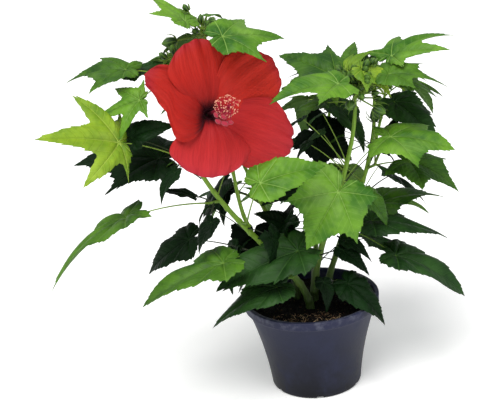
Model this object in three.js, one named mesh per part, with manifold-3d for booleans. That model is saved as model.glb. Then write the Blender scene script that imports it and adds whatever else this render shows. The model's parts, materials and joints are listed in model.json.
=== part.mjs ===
// Hardy hibiscus shrub in its nursery pot: a low plastic pot of compost, seven canes that fan out
// of it, leafy shoots on the canes, flower buds at their tips and one open bloom.
// Millimetres, +Z up. The origin is the centre of the pot's underside, and the bloom faces -Y.
import * as THREE from 'three';
import { mergeVertices } from 'three/addons/utils/BufferGeometryUtils.js';
import Module from 'manifold-3d';

const wasm = await Module();
wasm.setup();

// Pot and compost
const POT_HEIGHT = 155;
const FOOT_RADIUS = 77;
const FOOT_EDGE = 6;
const FOOT_ROLL = 0.29;
const RIM_RADIUS = 112;
const COLLAR_HEIGHT = 15;
const COLLAR_STEP = 2.5;
const LIP = 7;
const LIP_EDGE = 1.5;
const WALL = 3;
const WALL_SPREAD = [14, 18];
const WALL_STEPS = 3;
const POT_SIDES = 32;
const NOTCHES = 6;
const NOTCH_WIDTH = 11;
const NOTCH_HEIGHT = 4;
const SOIL_TOP = 141.5;
const SOIL_MOUND = 3.5;
const SOIL_CROWN = [74, 58];
const SOIL_SIDES = 20;

// Clearance between pieces that meet, and the wider one kept round limbs that leaves pass
const GAP = 0.3;
const SHY = 0.8;

// Limbs: where each leaves the compost, two points that bend it, its tip, and its two radii
const CANE_FOOT = SOIL_TOP + GAP;
const CANE_SIDES = 8;
const CANE_STEPS = 13;
const FOOT_FLARE = 1.6;
const FLARE_FALL = 14;
const TAPER = 0.85;
const LIMBS = {
  left_cane: { route: [[-4, -25], [-4, -25, 232], [-212, -84, 366], [-182, -2, 530]], radii: [6.2, 2.6] },
  inner_bough: { on: 'left_cane', at: 0.42, route: [[-116, -30, 345], [-110, 5, 500], [-133, 18, 588]],
    radii: [3.4, 2.1] },
  middle_cane: { route: [[5, 2], [5, 2, 240], [80, -8, 350], [90, 0, 470]], radii: [6.4, 2.8] },
  right_cane: { route: [[26, 16], [26, 16, 205], [126, 46, 320], [126, 50, 468]], radii: [5.8, 2.4] },
  back_cane: { route: [[8, 34], [8, 34, 225], [42, 88, 320], [58, 116, 436]], radii: [5.2, 2.3] },
  back_left_cane: { route: [[-22, 22], [-22, 22, 225], [-95, 100, 320], [-112, 126, 436]],
    radii: [5.2, 2.3] },
  back_right_cane: { route: [[34, 44], [34, 44, 210], [122, 122, 295], [152, 148, 428]],
    radii: [5.2, 2.3] },
};

// Leaf outlines, measured from the joint with the stalk: each lobe's direction from the midrib in
// degrees, its reach as a share of the blade and its spread in degrees, over a rounded body.
// The cuts are the directions in which a faceted outline has its corners.
const LEAF_KINDS = {
  heart: { lobes: [[0, 1, 46]], body: 0.42, tongue: 30, cuts: [0, 11, 29, 52, 80, 112, 148] },
  maple: { lobes: [[0, 1, 37], [47, 0.72, 29]], body: 0.46, tongue: 28,
    cuts: [0, 11, 29, 39, 47, 58, 84, 116, 150] },
  broad: { lobes: [[0, 1, 50], [52, 0.80, 46], [112, 0.62, 48]], body: 0.58, tongue: 26,
    cuts: [0, 12, 27, 40, 52, 64, 86, 112, 150] },
  star: { lobes: [[0, 1, 29], [50, 0.76, 25], [104, 0.46, 24]], body: 0.30, tongue: 25,
    cuts: [0, 9, 26, 41, 50, 60, 80, 95, 104, 116, 150] },
};
const BASE_NOTCH = 0.05;
const BASE_EAR = 0.27;
const BASE_FALL = 2.5;
const HUB = 0.12;
const LEAF_BREADTH = 0.95;
const LEAF_BEND = 0.55;
const LEAF_FOLD = 0.22;
const LEAF_SAG = 0.5;
const LEAF_THICKNESS = 0.012;
const THINNEST_LEAF = 1.2;
const TONGUE_CENTRE = 0.42;
const BASE_BEND = 0.4;
const LOBE_FALL = 0.9;
const LOBE_BLEND = 6;

// Stalks, shoots and buds
const STALK_RADII = [1.6, 0.9];
const STALK_SIDES = 3;
const STALK_STEPS = 3;
const STALK_ARCH = 0.10;
const STALK_SINK = 0.03;
const SHOOT_RADII = [2.5, 1.9];
const SHOOT_SIDES = 5;
const WIDEST_SLACK = 4;
const BUD_SIDES = 5;
const BUD_LENGTH_TO_WIDTH = 1.55;

// Bloom: five broad petals round a throat, seen from in front, and the column of anthers
const BLOOM = {
  throat: [-138, -66, 496],
  facing: [-72, 21],
  twist: -5,
  petals: [[96, 111, 54], [31, 127, 55], [-27, 134, 55], [-98, 96, 61], [163, 102, 51]],
  throatRadius: 7,
  depth: 25,
  funnel: 0.17,
  reflex: 8,
  overlap: 4.5,
  thickness: 1.7,
  gridAlong: 4,
  gridAcross: 5,
};
const PETAL_BASE = 0.06;
const PETAL_SPAN = 0.62;
const PETAL_ROUNDING = 0.26;
const PETAL_CUP = 6;
const COLUMN_LENGTH = 66;
const COLUMN_RADII = [3.6, 2.2];
const COLUMN_LEAN = 16;
const COLUMN_SIDES = 6;
const BRUSH_SPAN = [0.36, 0.97];
const BRUSH_RADIUS = 9;
const BRUSH_SIDES = 7;
const CALYX_LENGTH = 30;
const CALYX_NECK = 3.5;
const CALYX_RADIUS = 15;
const CALYX_SIDES = 10;
const CALYX_ROWS = [1, 0.62, 0.3, 0, -0.25];
const PEDUNCLE_RADII = [2.6, 3.2];
const PEDUNCLE_AT = 0.60;
const PEDUNCLE_DIP = 20;

// Foliage: each mass is one short shoot on a limb, with its leaves and buds. A leaf gives its
// place on the shoot, its stalk's bearing, rise and length, and its blade's heading, droop, roll
// and length. Bearings run from +X towards +Y.
const leaf = (kind, at, stalk, blade) => ({ kind, at, stalk, blade });
const bud = (at, stalk, width) => ({ at, stalk, width });
const MASSES = [
  { name: 'leaves_summit', on: 'inner_bough', at: 1, length: 22,
    leaves: [
      leaf('maple', 0.4, [-123, 36, 58], [141, -37, 9, 79]),
      leaf('maple', 0.7, [-72, 6, 98], [14, 0, 24, 104]),
      leaf('heart', 0.9, [-62, 6, 52], [-10, -12, 22, 52]),
      leaf('heart', 0.3, [60, 5, 45], [50, 25, 0, 85]),
      leaf('maple', 0.2, [120, -5, 50], [120, 30, 0, 80]),
    ],
    buds: [bud(0.98, [90, 70, 8], 10), bud(0.8, [-20, 45, 14], 11), bud(0.9, [-160, 50, 14], 9),
      bud(0.5, [-158, -2, 46], 16)],
  },
  { name: 'leaves_top_left', on: 'left_cane', at: 1, length: 28,
    leaves: [
      leaf('star', 0.5, [-128, -9, 96], [175, 12, -36, 88]),
      leaf('maple', 0.2, [-165, 20, 85], [174, -5, -10, 102]),
      leaf('maple', 0.4, [176, 8, 78], [25, -18, 9, 64]),
      leaf('heart', 0.9, [120, 10, 48], [120, 30, 0, 84]),
    ],
    buds: [bud(1, [-160, 40, 26], 10)],
  },
  { name: 'leaves_star', on: 'left_cane', at: 0.76, bearing: -160, rise: 20, length: 16,
    leaves: [
      leaf('star', 0.9, [-154, 25, 109], [-138, -24, -58, 134]),
      leaf('heart', 0.6, [-161, 31, 92], [-8, -26, 48, 70]),
      leaf('maple', 0.4, [150, -4, 50], [172, -8, -22, 148]),
      leaf('heart', 0.7, [-115, -20, 34], [-150, 40, 0, 55]),
    ],
  },
  { name: 'leaves_far_left', on: 'left_cane', at: 0.60, bearing: -150, rise: 5, length: 16,
    leaves: [
      leaf('heart', 0.9, [-169, -2, 130], [-167, 18, 6, 162]),
      leaf('heart', 0.5, [132, 0, 52], [174, -26, 0, 50]),
      leaf('heart', 0.4, [-100, -30, 40], [-140, 40, 0, 55]),
    ],
  },
  { name: 'leaves_under_bloom', on: 'left_cane', at: 0.50, bearing: -60, rise: 15, length: 16,
    leaves: [
      leaf('heart', 0.9, [-73, 47, 126], [0, -19, 35, 103]),
      leaf('heart', 0.4, [104, 19, 48], [-12, 50, 32, 64]),
    ],
  },
  { name: 'leaves_low_left', on: 'left_cane', at: 0.34, bearing: -165, rise: 10, length: 18,
    leaves: [
      leaf('heart', 0.7, [164, 11, 116], [173, 25, -26, 103]),
      leaf('heart', 0.9, [-126, 12, 90], [-169, 8, -3, 145]),
      leaf('heart', 0.4, [166, 10, 44], [180, 50, -18, 68]),
    ],
  },
  { name: 'leaves_base_left', on: 'left_cane', at: 0.20, bearing: -125, rise: 20, length: 16,
    leaves: [
      leaf('heart', 0.9, [-114, 5, 46], [-164, 9, -9, 122]),
      leaf('heart', 0.6, [150, 20, 48], [165, 30, -10, 74]),
    ],
  },
  { name: 'leaves_low_front', on: 'middle_cane', at: 0.27, bearing: -95, rise: 15, length: 16,
    leaves: [
      leaf('heart', 0.9, [-119, 28, 85], [-165, 7, -17, 146]),
      leaf('heart', 0.4, [-30, 20, 44], [-30, 25, 10, 60]),
    ],
  },
  { name: 'leaves_front', on: 'middle_cane', at: 0.66, bearing: -110, rise: 20, length: 16,
    leaves: [
      leaf('broad', 0.8, [-97, 4, 70], [-141, 44, -47, 104]),
      leaf('heart', 0.5, [-20, -30, 50], [-25, 45, 20, 60]),
    ],
  },
  { name: 'leaves_middle_top', on: 'middle_cane', at: 1, length: 38,
    leaves: [
      leaf('maple', 0.5, [-177, 45, 41], [145, -26, -21, 118]),
      leaf('maple', 0.9, [153, 57, 30], [10, -38, 6, 56]),
      leaf('maple', 0.6, [-112, 22, 95], [-160, -10, -13, 114]),
      leaf('maple', 0.3, [-30, 36, 72], [-18, -2, 10, 95]),
      leaf('heart', 0.1, [140, -6, 60], [157, 1, -16, 55]),
      leaf('maple', 0.75, [122, 40, 26], [80, -48, -25, 74]),
      leaf('maple', 0.5, [-70, 58, 52], [-32, 24, 14, 62]),
    ],
    buds: [bud(0.98, [-100, 55, 22], 13), bud(0.85, [20, 40, 26], 13), bud(0.9, [-160, 30, 34], 14),
      bud(0.55, [-105, -4, 46], 16), bud(0.4, [-50, -16, 42], 15)],
  },
  { name: 'leaves_right_top', on: 'right_cane', at: 1, length: 28,
    leaves: [
      leaf('star', 0.9, [-50, 48, 62], [26, -23, 3, 128]),
      leaf('heart', 0.4, [-12, 10, 52], [6, 12, 10, 62]),
      leaf('maple', 0.6, [55, 15, 55], [40, 15, 0, 95]),
    ],
    buds: [bud(0.98, [120, 60, 20], 12)],
  },
  { name: 'leaves_right', on: 'right_cane', at: 0.72, bearing: -45, rise: 25, length: 16,
    leaves: [
      leaf('broad', 0.9, [-74, 44, 94], [-18, -3, 11, 102]),
      leaf('broad', 0.5, [-12, 5, 60], [-28, 10, 8, 92]),
      leaf('heart', 0.7, [49, 40, 60], [35, -60, 0, 42]),
    ],
    buds: [bud(0.9, [-90, 71, 88], 16)],
  },
  { name: 'leaves_mid_right', on: 'right_cane', at: 0.42, bearing: -30, rise: 15, length: 18,
    leaves: [
      leaf('heart', 0.7, [35, 35, 57], [7, -17, 5, 124]),
      leaf('heart', 0.9, [-50, 37, 44], [-7, 4, 9, 132]),
      leaf('heart', 0.6, [-33, -24, 80], [-8, 16, 8, 134]),
      leaf('heart', 0.3, [-110, 2, 40], [-20, 23, 4, 56]),
    ],
  },
  { name: 'leaves_rim', on: 'right_cane', at: 0.10, bearing: -50, rise: 30, length: 18,
    leaves: [
      leaf('heart', 0.8, [-73, 17, 57], [-34, 30, 19, 90]),
      leaf('heart', 0.5, [-107, 24, 77], [-75, 40, -22, 50]),
    ],
  },
  { name: 'leaves_back_top', on: 'back_cane', at: 1, length: 26,
    spread: { count: 8, buds: 2 } },
  { name: 'leaves_dark', on: 'back_cane', at: 0.60, bearing: -110, rise: 20, length: 14,
    leaves: [
      leaf('broad', 0.9, [-92, 85, 105], [-11, 32, 46, 80]),
      leaf('heart', 0.6, [-106, 27, 64], [-173, -2, -18, 88]),
      leaf('heart', 0.4, [-130, -20, 92], [-170, -36, -48, 66]),
    ],
  },
  { name: 'leaves_back', on: 'back_cane', at: 0.58, bearing: 90, rise: 25, length: 26,
    spread: { count: 6, bearing: 95 } },
  { name: 'leaves_back_left_top', on: 'back_left_cane', at: 1, length: 28,
    spread: { count: 5, buds: 2 } },
  { name: 'leaves_back_left', on: 'back_left_cane', at: 0.56, bearing: 140, rise: 20, length: 28,
    spread: { count: 6, bearing: 150 } },
  { name: 'leaves_back_right_top', on: 'back_right_cane', at: 1, length: 26,
    spread: { count: 8, buds: 1 } },
  { name: 'leaves_back_right', on: 'back_right_cane', at: 0.55, bearing: 35, rise: 20, length: 28,
    spread: { count: 7, bearing: 40 } },
];

// Seeded growth of the leaves that turn away from the front
const SEED = 20419;
const GOLDEN_TURN = 137.5;
const FAN = 160;
const SPREAD_STALK = [30, 75];
const SPREAD_BLADE = [72, 118];
const SPREAD_RISE = [-10, 45];
const SPREAD_DROOP = [12, 42];
const SPREAD_KINDS = ['heart', 'maple', 'heart', 'maple', 'star'];
const LOWEST_LEAF = 112;
const CROWN_CENTRE = new THREE.Vector3(0, 105, 350);
const CROWN_RADII = new THREE.Vector3(285, 235, 240);

function random(seed) {
  let state = seed >>> 0;
  return () => {
    state = (state + 0x6D2B79F5) >>> 0;
    let mixed = Math.imul(state ^ (state >>> 15), state | 1);
    mixed = (mixed + Math.imul(mixed ^ (mixed >>> 7), mixed | 61)) ^ mixed;
    return ((mixed ^ (mixed >>> 14)) >>> 0) / 4294967296;
  };
}

const between = ([low, high], share) => low + (high - low) * share;
const radians = THREE.MathUtils.degToRad;

function way(bearing, rise) {
  const level = Math.cos(radians(rise));
  return new THREE.Vector3(
    Math.cos(radians(bearing)) * level, Math.sin(radians(bearing)) * level, Math.sin(radians(rise)));
}

// A closed mesh becomes a solid once its shared corners are one, and its empty triangles gone
function solidOf(positions, indices) {
  const raw = new THREE.BufferGeometry();
  raw.setAttribute('position', new THREE.Float32BufferAttribute(positions, 3));
  raw.setIndex(indices);
  const merged = mergeVertices(raw, 1e-4);
  const corners = merged.index.array;
  const kept = [];
  for (let i = 0; i < corners.length; i += 3) {
    const [a, b, c] = [corners[i], corners[i + 1], corners[i + 2]];
    if (a !== b && b !== c && c !== a) kept.push(a, b, c);
  }
  return new wasm.Manifold(new wasm.Mesh({
    numProp: 3,
    vertProperties: new Float32Array(merged.attributes.position.array),
    triVerts: new Uint32Array(kept),
  }));
}

function solidOfGeometry(geometry) {
  const count = geometry.attributes.position.count;
  const indices = geometry.index ? Array.from(geometry.index.array) : [...Array(count).keys()];
  return solidOf(Array.from(geometry.attributes.position.array), indices);
}

function geometryOf(solid) {
  const mesh = solid.getMesh();
  const geometry = new THREE.BufferGeometry();
  geometry.setAttribute('position', new THREE.BufferAttribute(new Float32Array(mesh.vertProperties), 3));
  geometry.setIndex(new THREE.BufferAttribute(new Uint32Array(mesh.triVerts), 1));
  geometry.computeVertexNormals();
  return geometry;
}

// A tapering tube through rings of the given radius round the points of a curve
function tube(points, radiusAt, sides, curve = new THREE.CatmullRomCurve3(points)) {
  const positions = [];
  const indices = [];
  const last = points.length - 1;
  let across = null;
  points.forEach((centre, row) => {
    const tangent = curve.getTangent(row / last);
    if (row === 0) across = new THREE.Vector3(1, 0, 0).cross(tangent);
    if (across.lengthSq() < 0.01) across.set(0, 1, 0).cross(tangent);
    across.addScaledVector(tangent, -across.dot(tangent)).normalize();
    const beside = tangent.clone().cross(across);
    for (let side = 0; side < sides; side += 1) {
      const turn = (2 * Math.PI * side) / sides;
      const corner = centre.clone()
        .addScaledVector(across, Math.cos(turn) * radiusAt(row / last))
        .addScaledVector(beside, Math.sin(turn) * radiusAt(row / last));
      positions.push(corner.x, corner.y, corner.z);
    }
  });
  for (let row = 0; row < last; row += 1) {
    for (let side = 0; side < sides; side += 1) {
      const next = (side + 1) % sides;
      const [a, b] = [row * sides + side, row * sides + next];
      indices.push(a, b, b + sides, a, b + sides, a + sides);
    }
  }
  for (let side = 1; side < sides - 1; side += 1) {
    indices.push(0, side + 1, side);
    indices.push(last * sides, last * sides + side, last * sides + side + 1);
  }
  return solidOf(positions, indices);
}

// Pot: one turned shell with a rolled foot edge and a collar, notched for drainage
function wallRadius(height) {
  const share = height / (POT_HEIGHT - COLLAR_HEIGHT);
  return FOOT_RADIUS + WALL_SPREAD[0] * share + WALL_SPREAD[1] * share * share;
}

function pot() {
  const collarFoot = POT_HEIGHT - COLLAR_HEIGHT;
  const outer = [[0, 0], [FOOT_RADIUS - FOOT_EDGE, 0]];
  outer.push([wallRadius(0) - FOOT_EDGE * FOOT_ROLL, FOOT_EDGE * FOOT_ROLL]);
  const inner = [];
  for (let step = 0; step <= WALL_STEPS; step += 1) {
    const share = step / WALL_STEPS;
    const height = between([FOOT_EDGE, collarFoot], share);
    const inside = between([FOOT_EDGE, collarFoot - WALL - 1], share);
    outer.push([wallRadius(height) - COLLAR_STEP, height]);
    inner.unshift([wallRadius(inside) - COLLAR_STEP - WALL, inside]);
  }
  outer.push([RIM_RADIUS, collarFoot + 2], [RIM_RADIUS, POT_HEIGHT - LIP_EDGE]);
  outer.push([RIM_RADIUS - LIP_EDGE, POT_HEIGHT], [RIM_RADIUS - LIP, POT_HEIGHT]);
  inner.push([FOOT_RADIUS - FOOT_EDGE - WALL, WALL], [0, WALL]);
  const profile = [...outer, ...inner].map(([r, z]) => new THREE.Vector2(r, z));
  let shell = solidOfGeometry(new THREE.LatheGeometry(profile, POT_SIDES).rotateX(Math.PI / 2));
  for (let notch = 0; notch < NOTCHES; notch += 1) {
    const cutter = new THREE.BoxGeometry(FOOT_EDGE * 3, NOTCH_WIDTH, NOTCH_HEIGHT * 2);
    cutter.translate(FOOT_RADIUS, 0, 0);
    cutter.rotateZ(-Math.PI / 2 + (2 * Math.PI * notch) / NOTCHES);
    shell = shell.subtract(solidOfGeometry(cutter));
  }
  return shell;
}

// Compost: it fills the pot to just under the lip and stands a little higher in the middle
function soil() {
  const edge = SOIL_TOP - SOIL_MOUND;
  const profile = [[0, WALL + GAP], [FOOT_RADIUS - FOOT_EDGE - WALL - GAP * 2, WALL + GAP]];
  for (let step = 1; step <= WALL_STEPS; step += 1) {
    const height = between([FOOT_EDGE, edge], step / WALL_STEPS);
    profile.push([wallRadius(height) - COLLAR_STEP - WALL - GAP * 5, height]);
  }
  profile.push([SOIL_CROWN[0], SOIL_TOP - 1], [SOIL_CROWN[1], SOIL_TOP], [0, SOIL_TOP]);
  const corners = profile.map(([r, z]) => new THREE.Vector2(r, z));
  return solidOfGeometry(new THREE.LatheGeometry(corners, SOIL_SIDES).rotateX(Math.PI / 2));
}

// Limbs
const curves = {};
const limbSolids = {};
const shySolids = {};

function limbRadius(name, share) {
  const { radii, on } = LIMBS[name];
  const flare = on ? 0 : FOOT_FLARE * Math.exp(-share * FLARE_FALL);
  return between(radii, share ** TAPER) + flare;
}

// The point from which a stem of the given radius leaves a limb, just clear of its side
function footOn(on, at, along, radius) {
  const slant = Math.abs(along.dot(curves[on].getTangent(at)));
  const room = limbRadius(on, at) + GAP + radius * slant;
  return curves[on].getPoint(at).addScaledVector(along, room / Math.sqrt(1 - slant * slant));
}

function growLimb(name) {
  const { route, on, at } = LIMBS[name];
  const points = route.map(([x, y, z]) => new THREE.Vector3(x, y, z ?? CANE_FOOT));
  if (on) {
    const lead = points[0].clone().sub(curves[on].getPoint(at)).normalize();
    points.unshift(footOn(on, at, lead, LIMBS[name].radii[0]));
  }
  curves[name] = new THREE.CubicBezierCurve3(...points);
  const rows = curves[name].getPoints(CANE_STEPS);
  limbSolids[name] = tube(rows, (share) => limbRadius(name, share), CANE_SIDES, curves[name]);
  shySolids[name] = tube(rows, (share) => limbRadius(name, share) + SHY, CANE_SIDES, curves[name]);
}

// Leaves
function reach(kind, degrees) {
  const { lobes, body } = LEAF_KINDS[kind];
  const turn = Math.abs(degrees);
  if (turn > 179) return BASE_NOTCH;
  let sum = (body * (1 - (1 - BASE_EAR) * (turn / 180) ** BASE_FALL)) ** LOBE_BLEND;
  lobes.forEach(([at, length, spread]) => {
    sum += (length * Math.exp(-((Math.abs(turn - at) / spread) ** LOBE_FALL))) ** LOBE_BLEND;
  });
  return sum ** (1 / LOBE_BLEND);
}

function bladeFrame(joint, [heading, droop, roll, size]) {
  const along = way(heading, -droop);
  const level = way(heading + 90, 0);
  const above = along.clone().cross(level);
  const across = level.clone().applyAxisAngle(along, radians(roll));
  const normal = above.applyAxisAngle(along, radians(roll));
  return { joint, along, across, normal, size };
}

// A point of the bent blade: u runs along the midrib and v across it, as shares of its length
function bladePoint(frame, u, v, lift = 0) {
  const bend = LEAF_BEND * (u > 0 ? u : BASE_BEND * u);
  const forward = u * (1 - (bend * bend) / 6);
  const height = -0.5 * u * bend + LEAF_FOLD * Math.abs(v) - LEAF_SAG * v * v;
  return frame.joint.clone()
    .addScaledVector(frame.along, forward * frame.size)
    .addScaledVector(frame.across, v * LEAF_BREADTH * frame.size)
    .addScaledVector(frame.normal, (height + lift) * frame.size);
}

function bladeSolid(frame, kind, thickness) {
  const { cuts, tongue } = LEAF_KINDS[kind];
  const turns = [...cuts.slice(1).reverse().map((cut) => -cut), ...cuts, 180];
  const flat = turns.map((turn) => {
    const length = reach(kind, turn);
    return [length * Math.cos(radians(turn)), length * Math.sin(radians(turn))];
  });
  const count = flat.length;
  flat.push([HUB, 0], [TONGUE_CENTRE, 0]);
  const [joint, middle] = [count, count + 1];
  const total = flat.length;
  const positions = [];
  [0.5, -0.5].forEach((side) => {
    flat.forEach(([u, v]) => {
      const point = bladePoint(frame, u, v, side * thickness);
      positions.push(point.x, point.y, point.z);
    });
  });
  const faces = [];
  const inTongue = (turn) => Math.abs(turn) <= tongue;
  for (let k = 0; k < count; k += 1) {
    const next = (k + 1) % count;
    const hub = inTongue(turns[k]) && inTongue(turns[next]) ? middle : joint;
    faces.push([k, next, hub]);
    if (hub === joint && inTongue(turns[next]) && next !== 0) faces.push([joint, next, middle]);
    if (hub === joint && inTongue(turns[k])) faces.push([joint, middle, k]);
  }
  const indices = [];
  faces.forEach(([a, b, c]) => {
    indices.push(a, b, c);
    indices.push(a + total, c + total, b + total);
  });
  for (let k = 0; k < count; k += 1) {
    const next = (k + 1) % count;
    indices.push(k, k + total, next + total, k, next + total, next);
  }
  return solidOf(positions, indices);
}

function stalkPoints(start, joint) {
  const middle = start.clone().lerp(joint, 0.5);
  middle.z += start.distanceTo(joint) * STALK_ARCH;
  return new THREE.QuadraticBezierCurve3(start, middle, joint).getPoints(STALK_STEPS);
}

const stalkRadius = (share) => between(STALK_RADII, share);

function leafSolid(start, { kind, stalk: [bearing, rise, length], blade }) {
  const joint = start.clone().addScaledVector(way(bearing, rise), length);
  const frame = bladeFrame(joint, blade);
  const thickness = Math.max(LEAF_THICKNESS, THINNEST_LEAF / frame.size);
  const points = stalkPoints(start, joint);
  points.push(bladePoint(frame, STALK_SINK, 0));
  const stem = tube(points, stalkRadius, STALK_SIDES);
  return { stem, face: bladeSolid(frame, kind, thickness), tip: bladePoint(frame, 1, 0) };
}

// Buds: a pointed green ovoid in its calyx
function budSolid(start, { stalk: [bearing, rise, length], width }) {
  const along = way(bearing, rise);
  const base = start.clone().addScaledVector(along, length);
  const tall = width * BUD_LENGTH_TO_WIDTH;
  const stem = tube([start, base.clone().addScaledVector(along, tall * 0.2)], stalkRadius, STALK_SIDES);
  const profile = [[0, 0], [0.42, 0.12], [0.5, 0.42], [0, 1]]
    .map(([r, z]) => new THREE.Vector2(r * width, z * tall));
  const ovoid = new THREE.LatheGeometry(profile, BUD_SIDES).rotateX(Math.PI / 2);
  const turn = new THREE.Quaternion().setFromUnitVectors(new THREE.Vector3(0, 0, 1), along);
  ovoid.applyQuaternion(turn).translate(base.x, base.y, base.z);
  return { stem, face: solidOfGeometry(ovoid), tip: base.clone().addScaledVector(along, tall) };
}

// Masses
function shootLine({ on, at, bearing, rise, length }) {
  if (at === 1) {
    const along = curves[on].getTangent(1);
    return { foot: curves[on].getPoint(1).addScaledVector(along, GAP), along, length };
  }
  const along = way(bearing, rise);
  return { foot: footOn(on, at, along, SHOOT_RADII[0]), along, length };
}

const shootPoint = (shoot, share) => shoot.foot.clone().addScaledVector(shoot.along, shoot.length * share);

// Where leaves are not named one by one, they turn round the shoot by the golden angle
function spreadLeaves({ spread, at }, draw) {
  if (!spread) return [];
  const leaves = [];
  for (let index = 0; index < spread.count; index += 1) {
    const share = (index + 0.6) / spread.count;
    let bearing = index * GOLDEN_TURN + between([-18, 18], draw());
    if (spread.bearing !== undefined) bearing = spread.bearing + ((bearing % 360) / 360 - 0.5) * FAN;
    const rise = between(SPREAD_RISE, at === 1 ? share : draw() * 0.6) + between([-8, 8], draw());
    const stalk = [bearing, rise, between(SPREAD_STALK, draw())];
    const heading = bearing + between([-25, 25], draw());
    const blade = [heading, between(SPREAD_DROOP, draw()), between([-18, 18], draw()),
      between(SPREAD_BLADE, draw() * (at === 1 ? 1.1 - 0.5 * share : 1))];
    const kind = SPREAD_KINDS[Math.floor(draw() * SPREAD_KINDS.length)];
    leaves.push(leaf(kind, share, stalk, blade));
  }
  return leaves;
}

function spreadBuds({ spread }, draw) {
  const buds = [];
  for (let index = 0; index < (spread?.buds ?? 0); index += 1) {
    const bearing = index * GOLDEN_TURN + between([0, 60], draw());
    buds.push(bud(0.96 - index * 0.14, [bearing, between([45, 75], draw()), between([18, 32], draw())],
      between([10, 14], draw())));
  }
  return buds;
}

const meets = (one, other) => !one.intersect(other).isEmpty();
const lowest = (solid) => solid.boundingBox().min[2];

// The largest body is the mass: scraps drop, and hollows that fusing sealed are filled
function largest(solid) {
  const bodies = solid.decompose().filter((body) => body.volume() > 0);
  return bodies.sort((one, other) => other.volume() - one.volume())[0];
}

function shootSolid(shoot) {
  const rows = [0, 0.5, 1].map((share) => shootPoint(shoot, share));
  return tube(rows, (share) => between(SHOOT_RADII, share), SHOOT_SIDES);
}

// The shoot slides down its own line until it lies just clear of the limb's nearest facet
function startMass(mass) {
  const shoot = shootLine(mass);
  const slack = shootSolid(shoot).minGap(limbSolids[mass.on], WIDEST_SLACK) - GAP;
  shoot.foot.addScaledVector(shoot.along, -slack);
  return { ...mass, shoot, body: shootSolid(shoot), faces: [] };
}

// A leaf or bud joins its mass unless it would meet a limb or another mass. Seeded ones also stay
// within the crown and clear of the blades already there.
function addOrgan(mass, organ, others, seeded) {
  const whole = organ.stem.add(organ.face);
  const blockers = [...Object.values(shySolids), ...others.map((other) => other.body)];
  if (seeded) blockers.push(...mass.faces);
  const outside = organ.tip.clone().sub(CROWN_CENTRE).divide(CROWN_RADII).length() > 1;
  if ((seeded && outside) || lowest(whole) < LOWEST_LEAF) return;
  if (blockers.some((blocker) => meets(whole, blocker))) return;
  mass.body = mass.body.add(whole);
  mass.faces.push(organ.face);
}

// Bloom
function bloomFrame() {
  const [azimuth, rise] = BLOOM.facing;
  const axis = way(azimuth, rise);
  const side = way(azimuth + 90, 0);
  const top = axis.clone().cross(side);
  const right = side.applyAxisAngle(axis, radians(BLOOM.twist));
  const up = top.applyAxisAngle(axis, radians(BLOOM.twist));
  return { throat: new THREE.Vector3(...BLOOM.throat), axis, right, up };
}

// A point of a petal: s runs from throat to tip, w from one edge to the other
function petalPoint(frame, [petal, length, breadth], s, w, lift) {
  const turn = radians(petal);
  const outward = frame.right.clone().multiplyScalar(Math.cos(turn))
    .addScaledVector(frame.up, Math.sin(turn));
  const around = frame.up.clone().multiplyScalar(Math.cos(turn))
    .addScaledVector(frame.right, -Math.sin(turn));
  const width = breadth * Math.sin(Math.PI * (PETAL_BASE + PETAL_SPAN * s)) ** 0.9;
  const round = 1 - PETAL_ROUNDING * Math.abs(w) ** 2.6 * s;
  const out = BLOOM.throatRadius + (length - BLOOM.throatRadius) * s * round;
  const forward = BLOOM.depth * (1 - Math.exp(-s / BLOOM.funnel)) - BLOOM.reflex * s * s;
  const over = BLOOM.overlap * w * Math.min(1, s * 1.6) - PETAL_CUP * s * w * w;
  return frame.throat.clone()
    .addScaledVector(outward, out)
    .addScaledVector(around, width * w)
    .addScaledVector(frame.axis, forward + over + lift);
}

function petalSolid(frame, petal) {
  const { gridAlong, gridAcross, thickness } = BLOOM;
  const positions = [];
  [0.5, -0.5].forEach((side) => {
    for (let i = 0; i <= gridAlong; i += 1) {
      for (let j = 0; j <= gridAcross; j += 1) {
        const point = petalPoint(frame, petal, i / gridAlong, (2 * j) / gridAcross - 1, side * thickness);
        positions.push(point.x, point.y, point.z);
      }
    }
  });
  const wide = gridAcross + 1;
  const total = wide * (gridAlong + 1);
  const indices = [];
  for (let i = 0; i < gridAlong; i += 1) {
    for (let j = 0; j < gridAcross; j += 1) {
      const a = i * wide + j;
      [[a, a + wide, a + wide + 1], [a, a + wide + 1, a + 1]].forEach(([p, q, r]) => {
        indices.push(p, q, r, p + total, r + total, q + total);
      });
    }
  }
  const border = [];
  for (let i = 0; i < gridAlong; i += 1) border.push(i * wide);
  for (let j = 0; j < gridAcross; j += 1) border.push(gridAlong * wide + j);
  for (let i = gridAlong; i > 0; i -= 1) border.push(i * wide + gridAcross);
  for (let j = gridAcross; j > 0; j -= 1) border.push(j);
  border.forEach((corner, k) => {
    const next = border[(k + 1) % border.length];
    indices.push(corner, corner + total, next + total, corner, next + total, next);
  });
  return solidOf(positions, indices);
}

function columnCurve(frame) {
  const lean = frame.axis.clone().multiplyScalar(COLUMN_LENGTH);
  const tip = frame.throat.clone().add(lean)
    .addScaledVector(frame.right, COLUMN_LEAN)
    .addScaledVector(frame.up, COLUMN_LEAN * 0.2);
  const bend = frame.throat.clone().addScaledVector(frame.axis, COLUMN_LENGTH * 0.55);
  return new THREE.QuadraticBezierCurve3(frame.throat.clone(), bend, tip);
}

// The column of anthers, thickest in the middle of the brush
function columnSolid(frame) {
  const curve = columnCurve(frame);
  const shaft = tube(curve.getPoints(5), (share) => between(COLUMN_RADII, share), COLUMN_SIDES);
  const rows = [0, 0.25, 0.5, 0.75, 1].map((share) => curve.getPoint(between(BRUSH_SPAN, share)));
  const swell = (share) => 0.5 + 0.5 * Math.sin(Math.PI * between([0.1, 0.9], share));
  return shaft.add(tube(rows, (share) => BRUSH_RADIUS * swell(share), BRUSH_SIDES));
}

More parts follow.
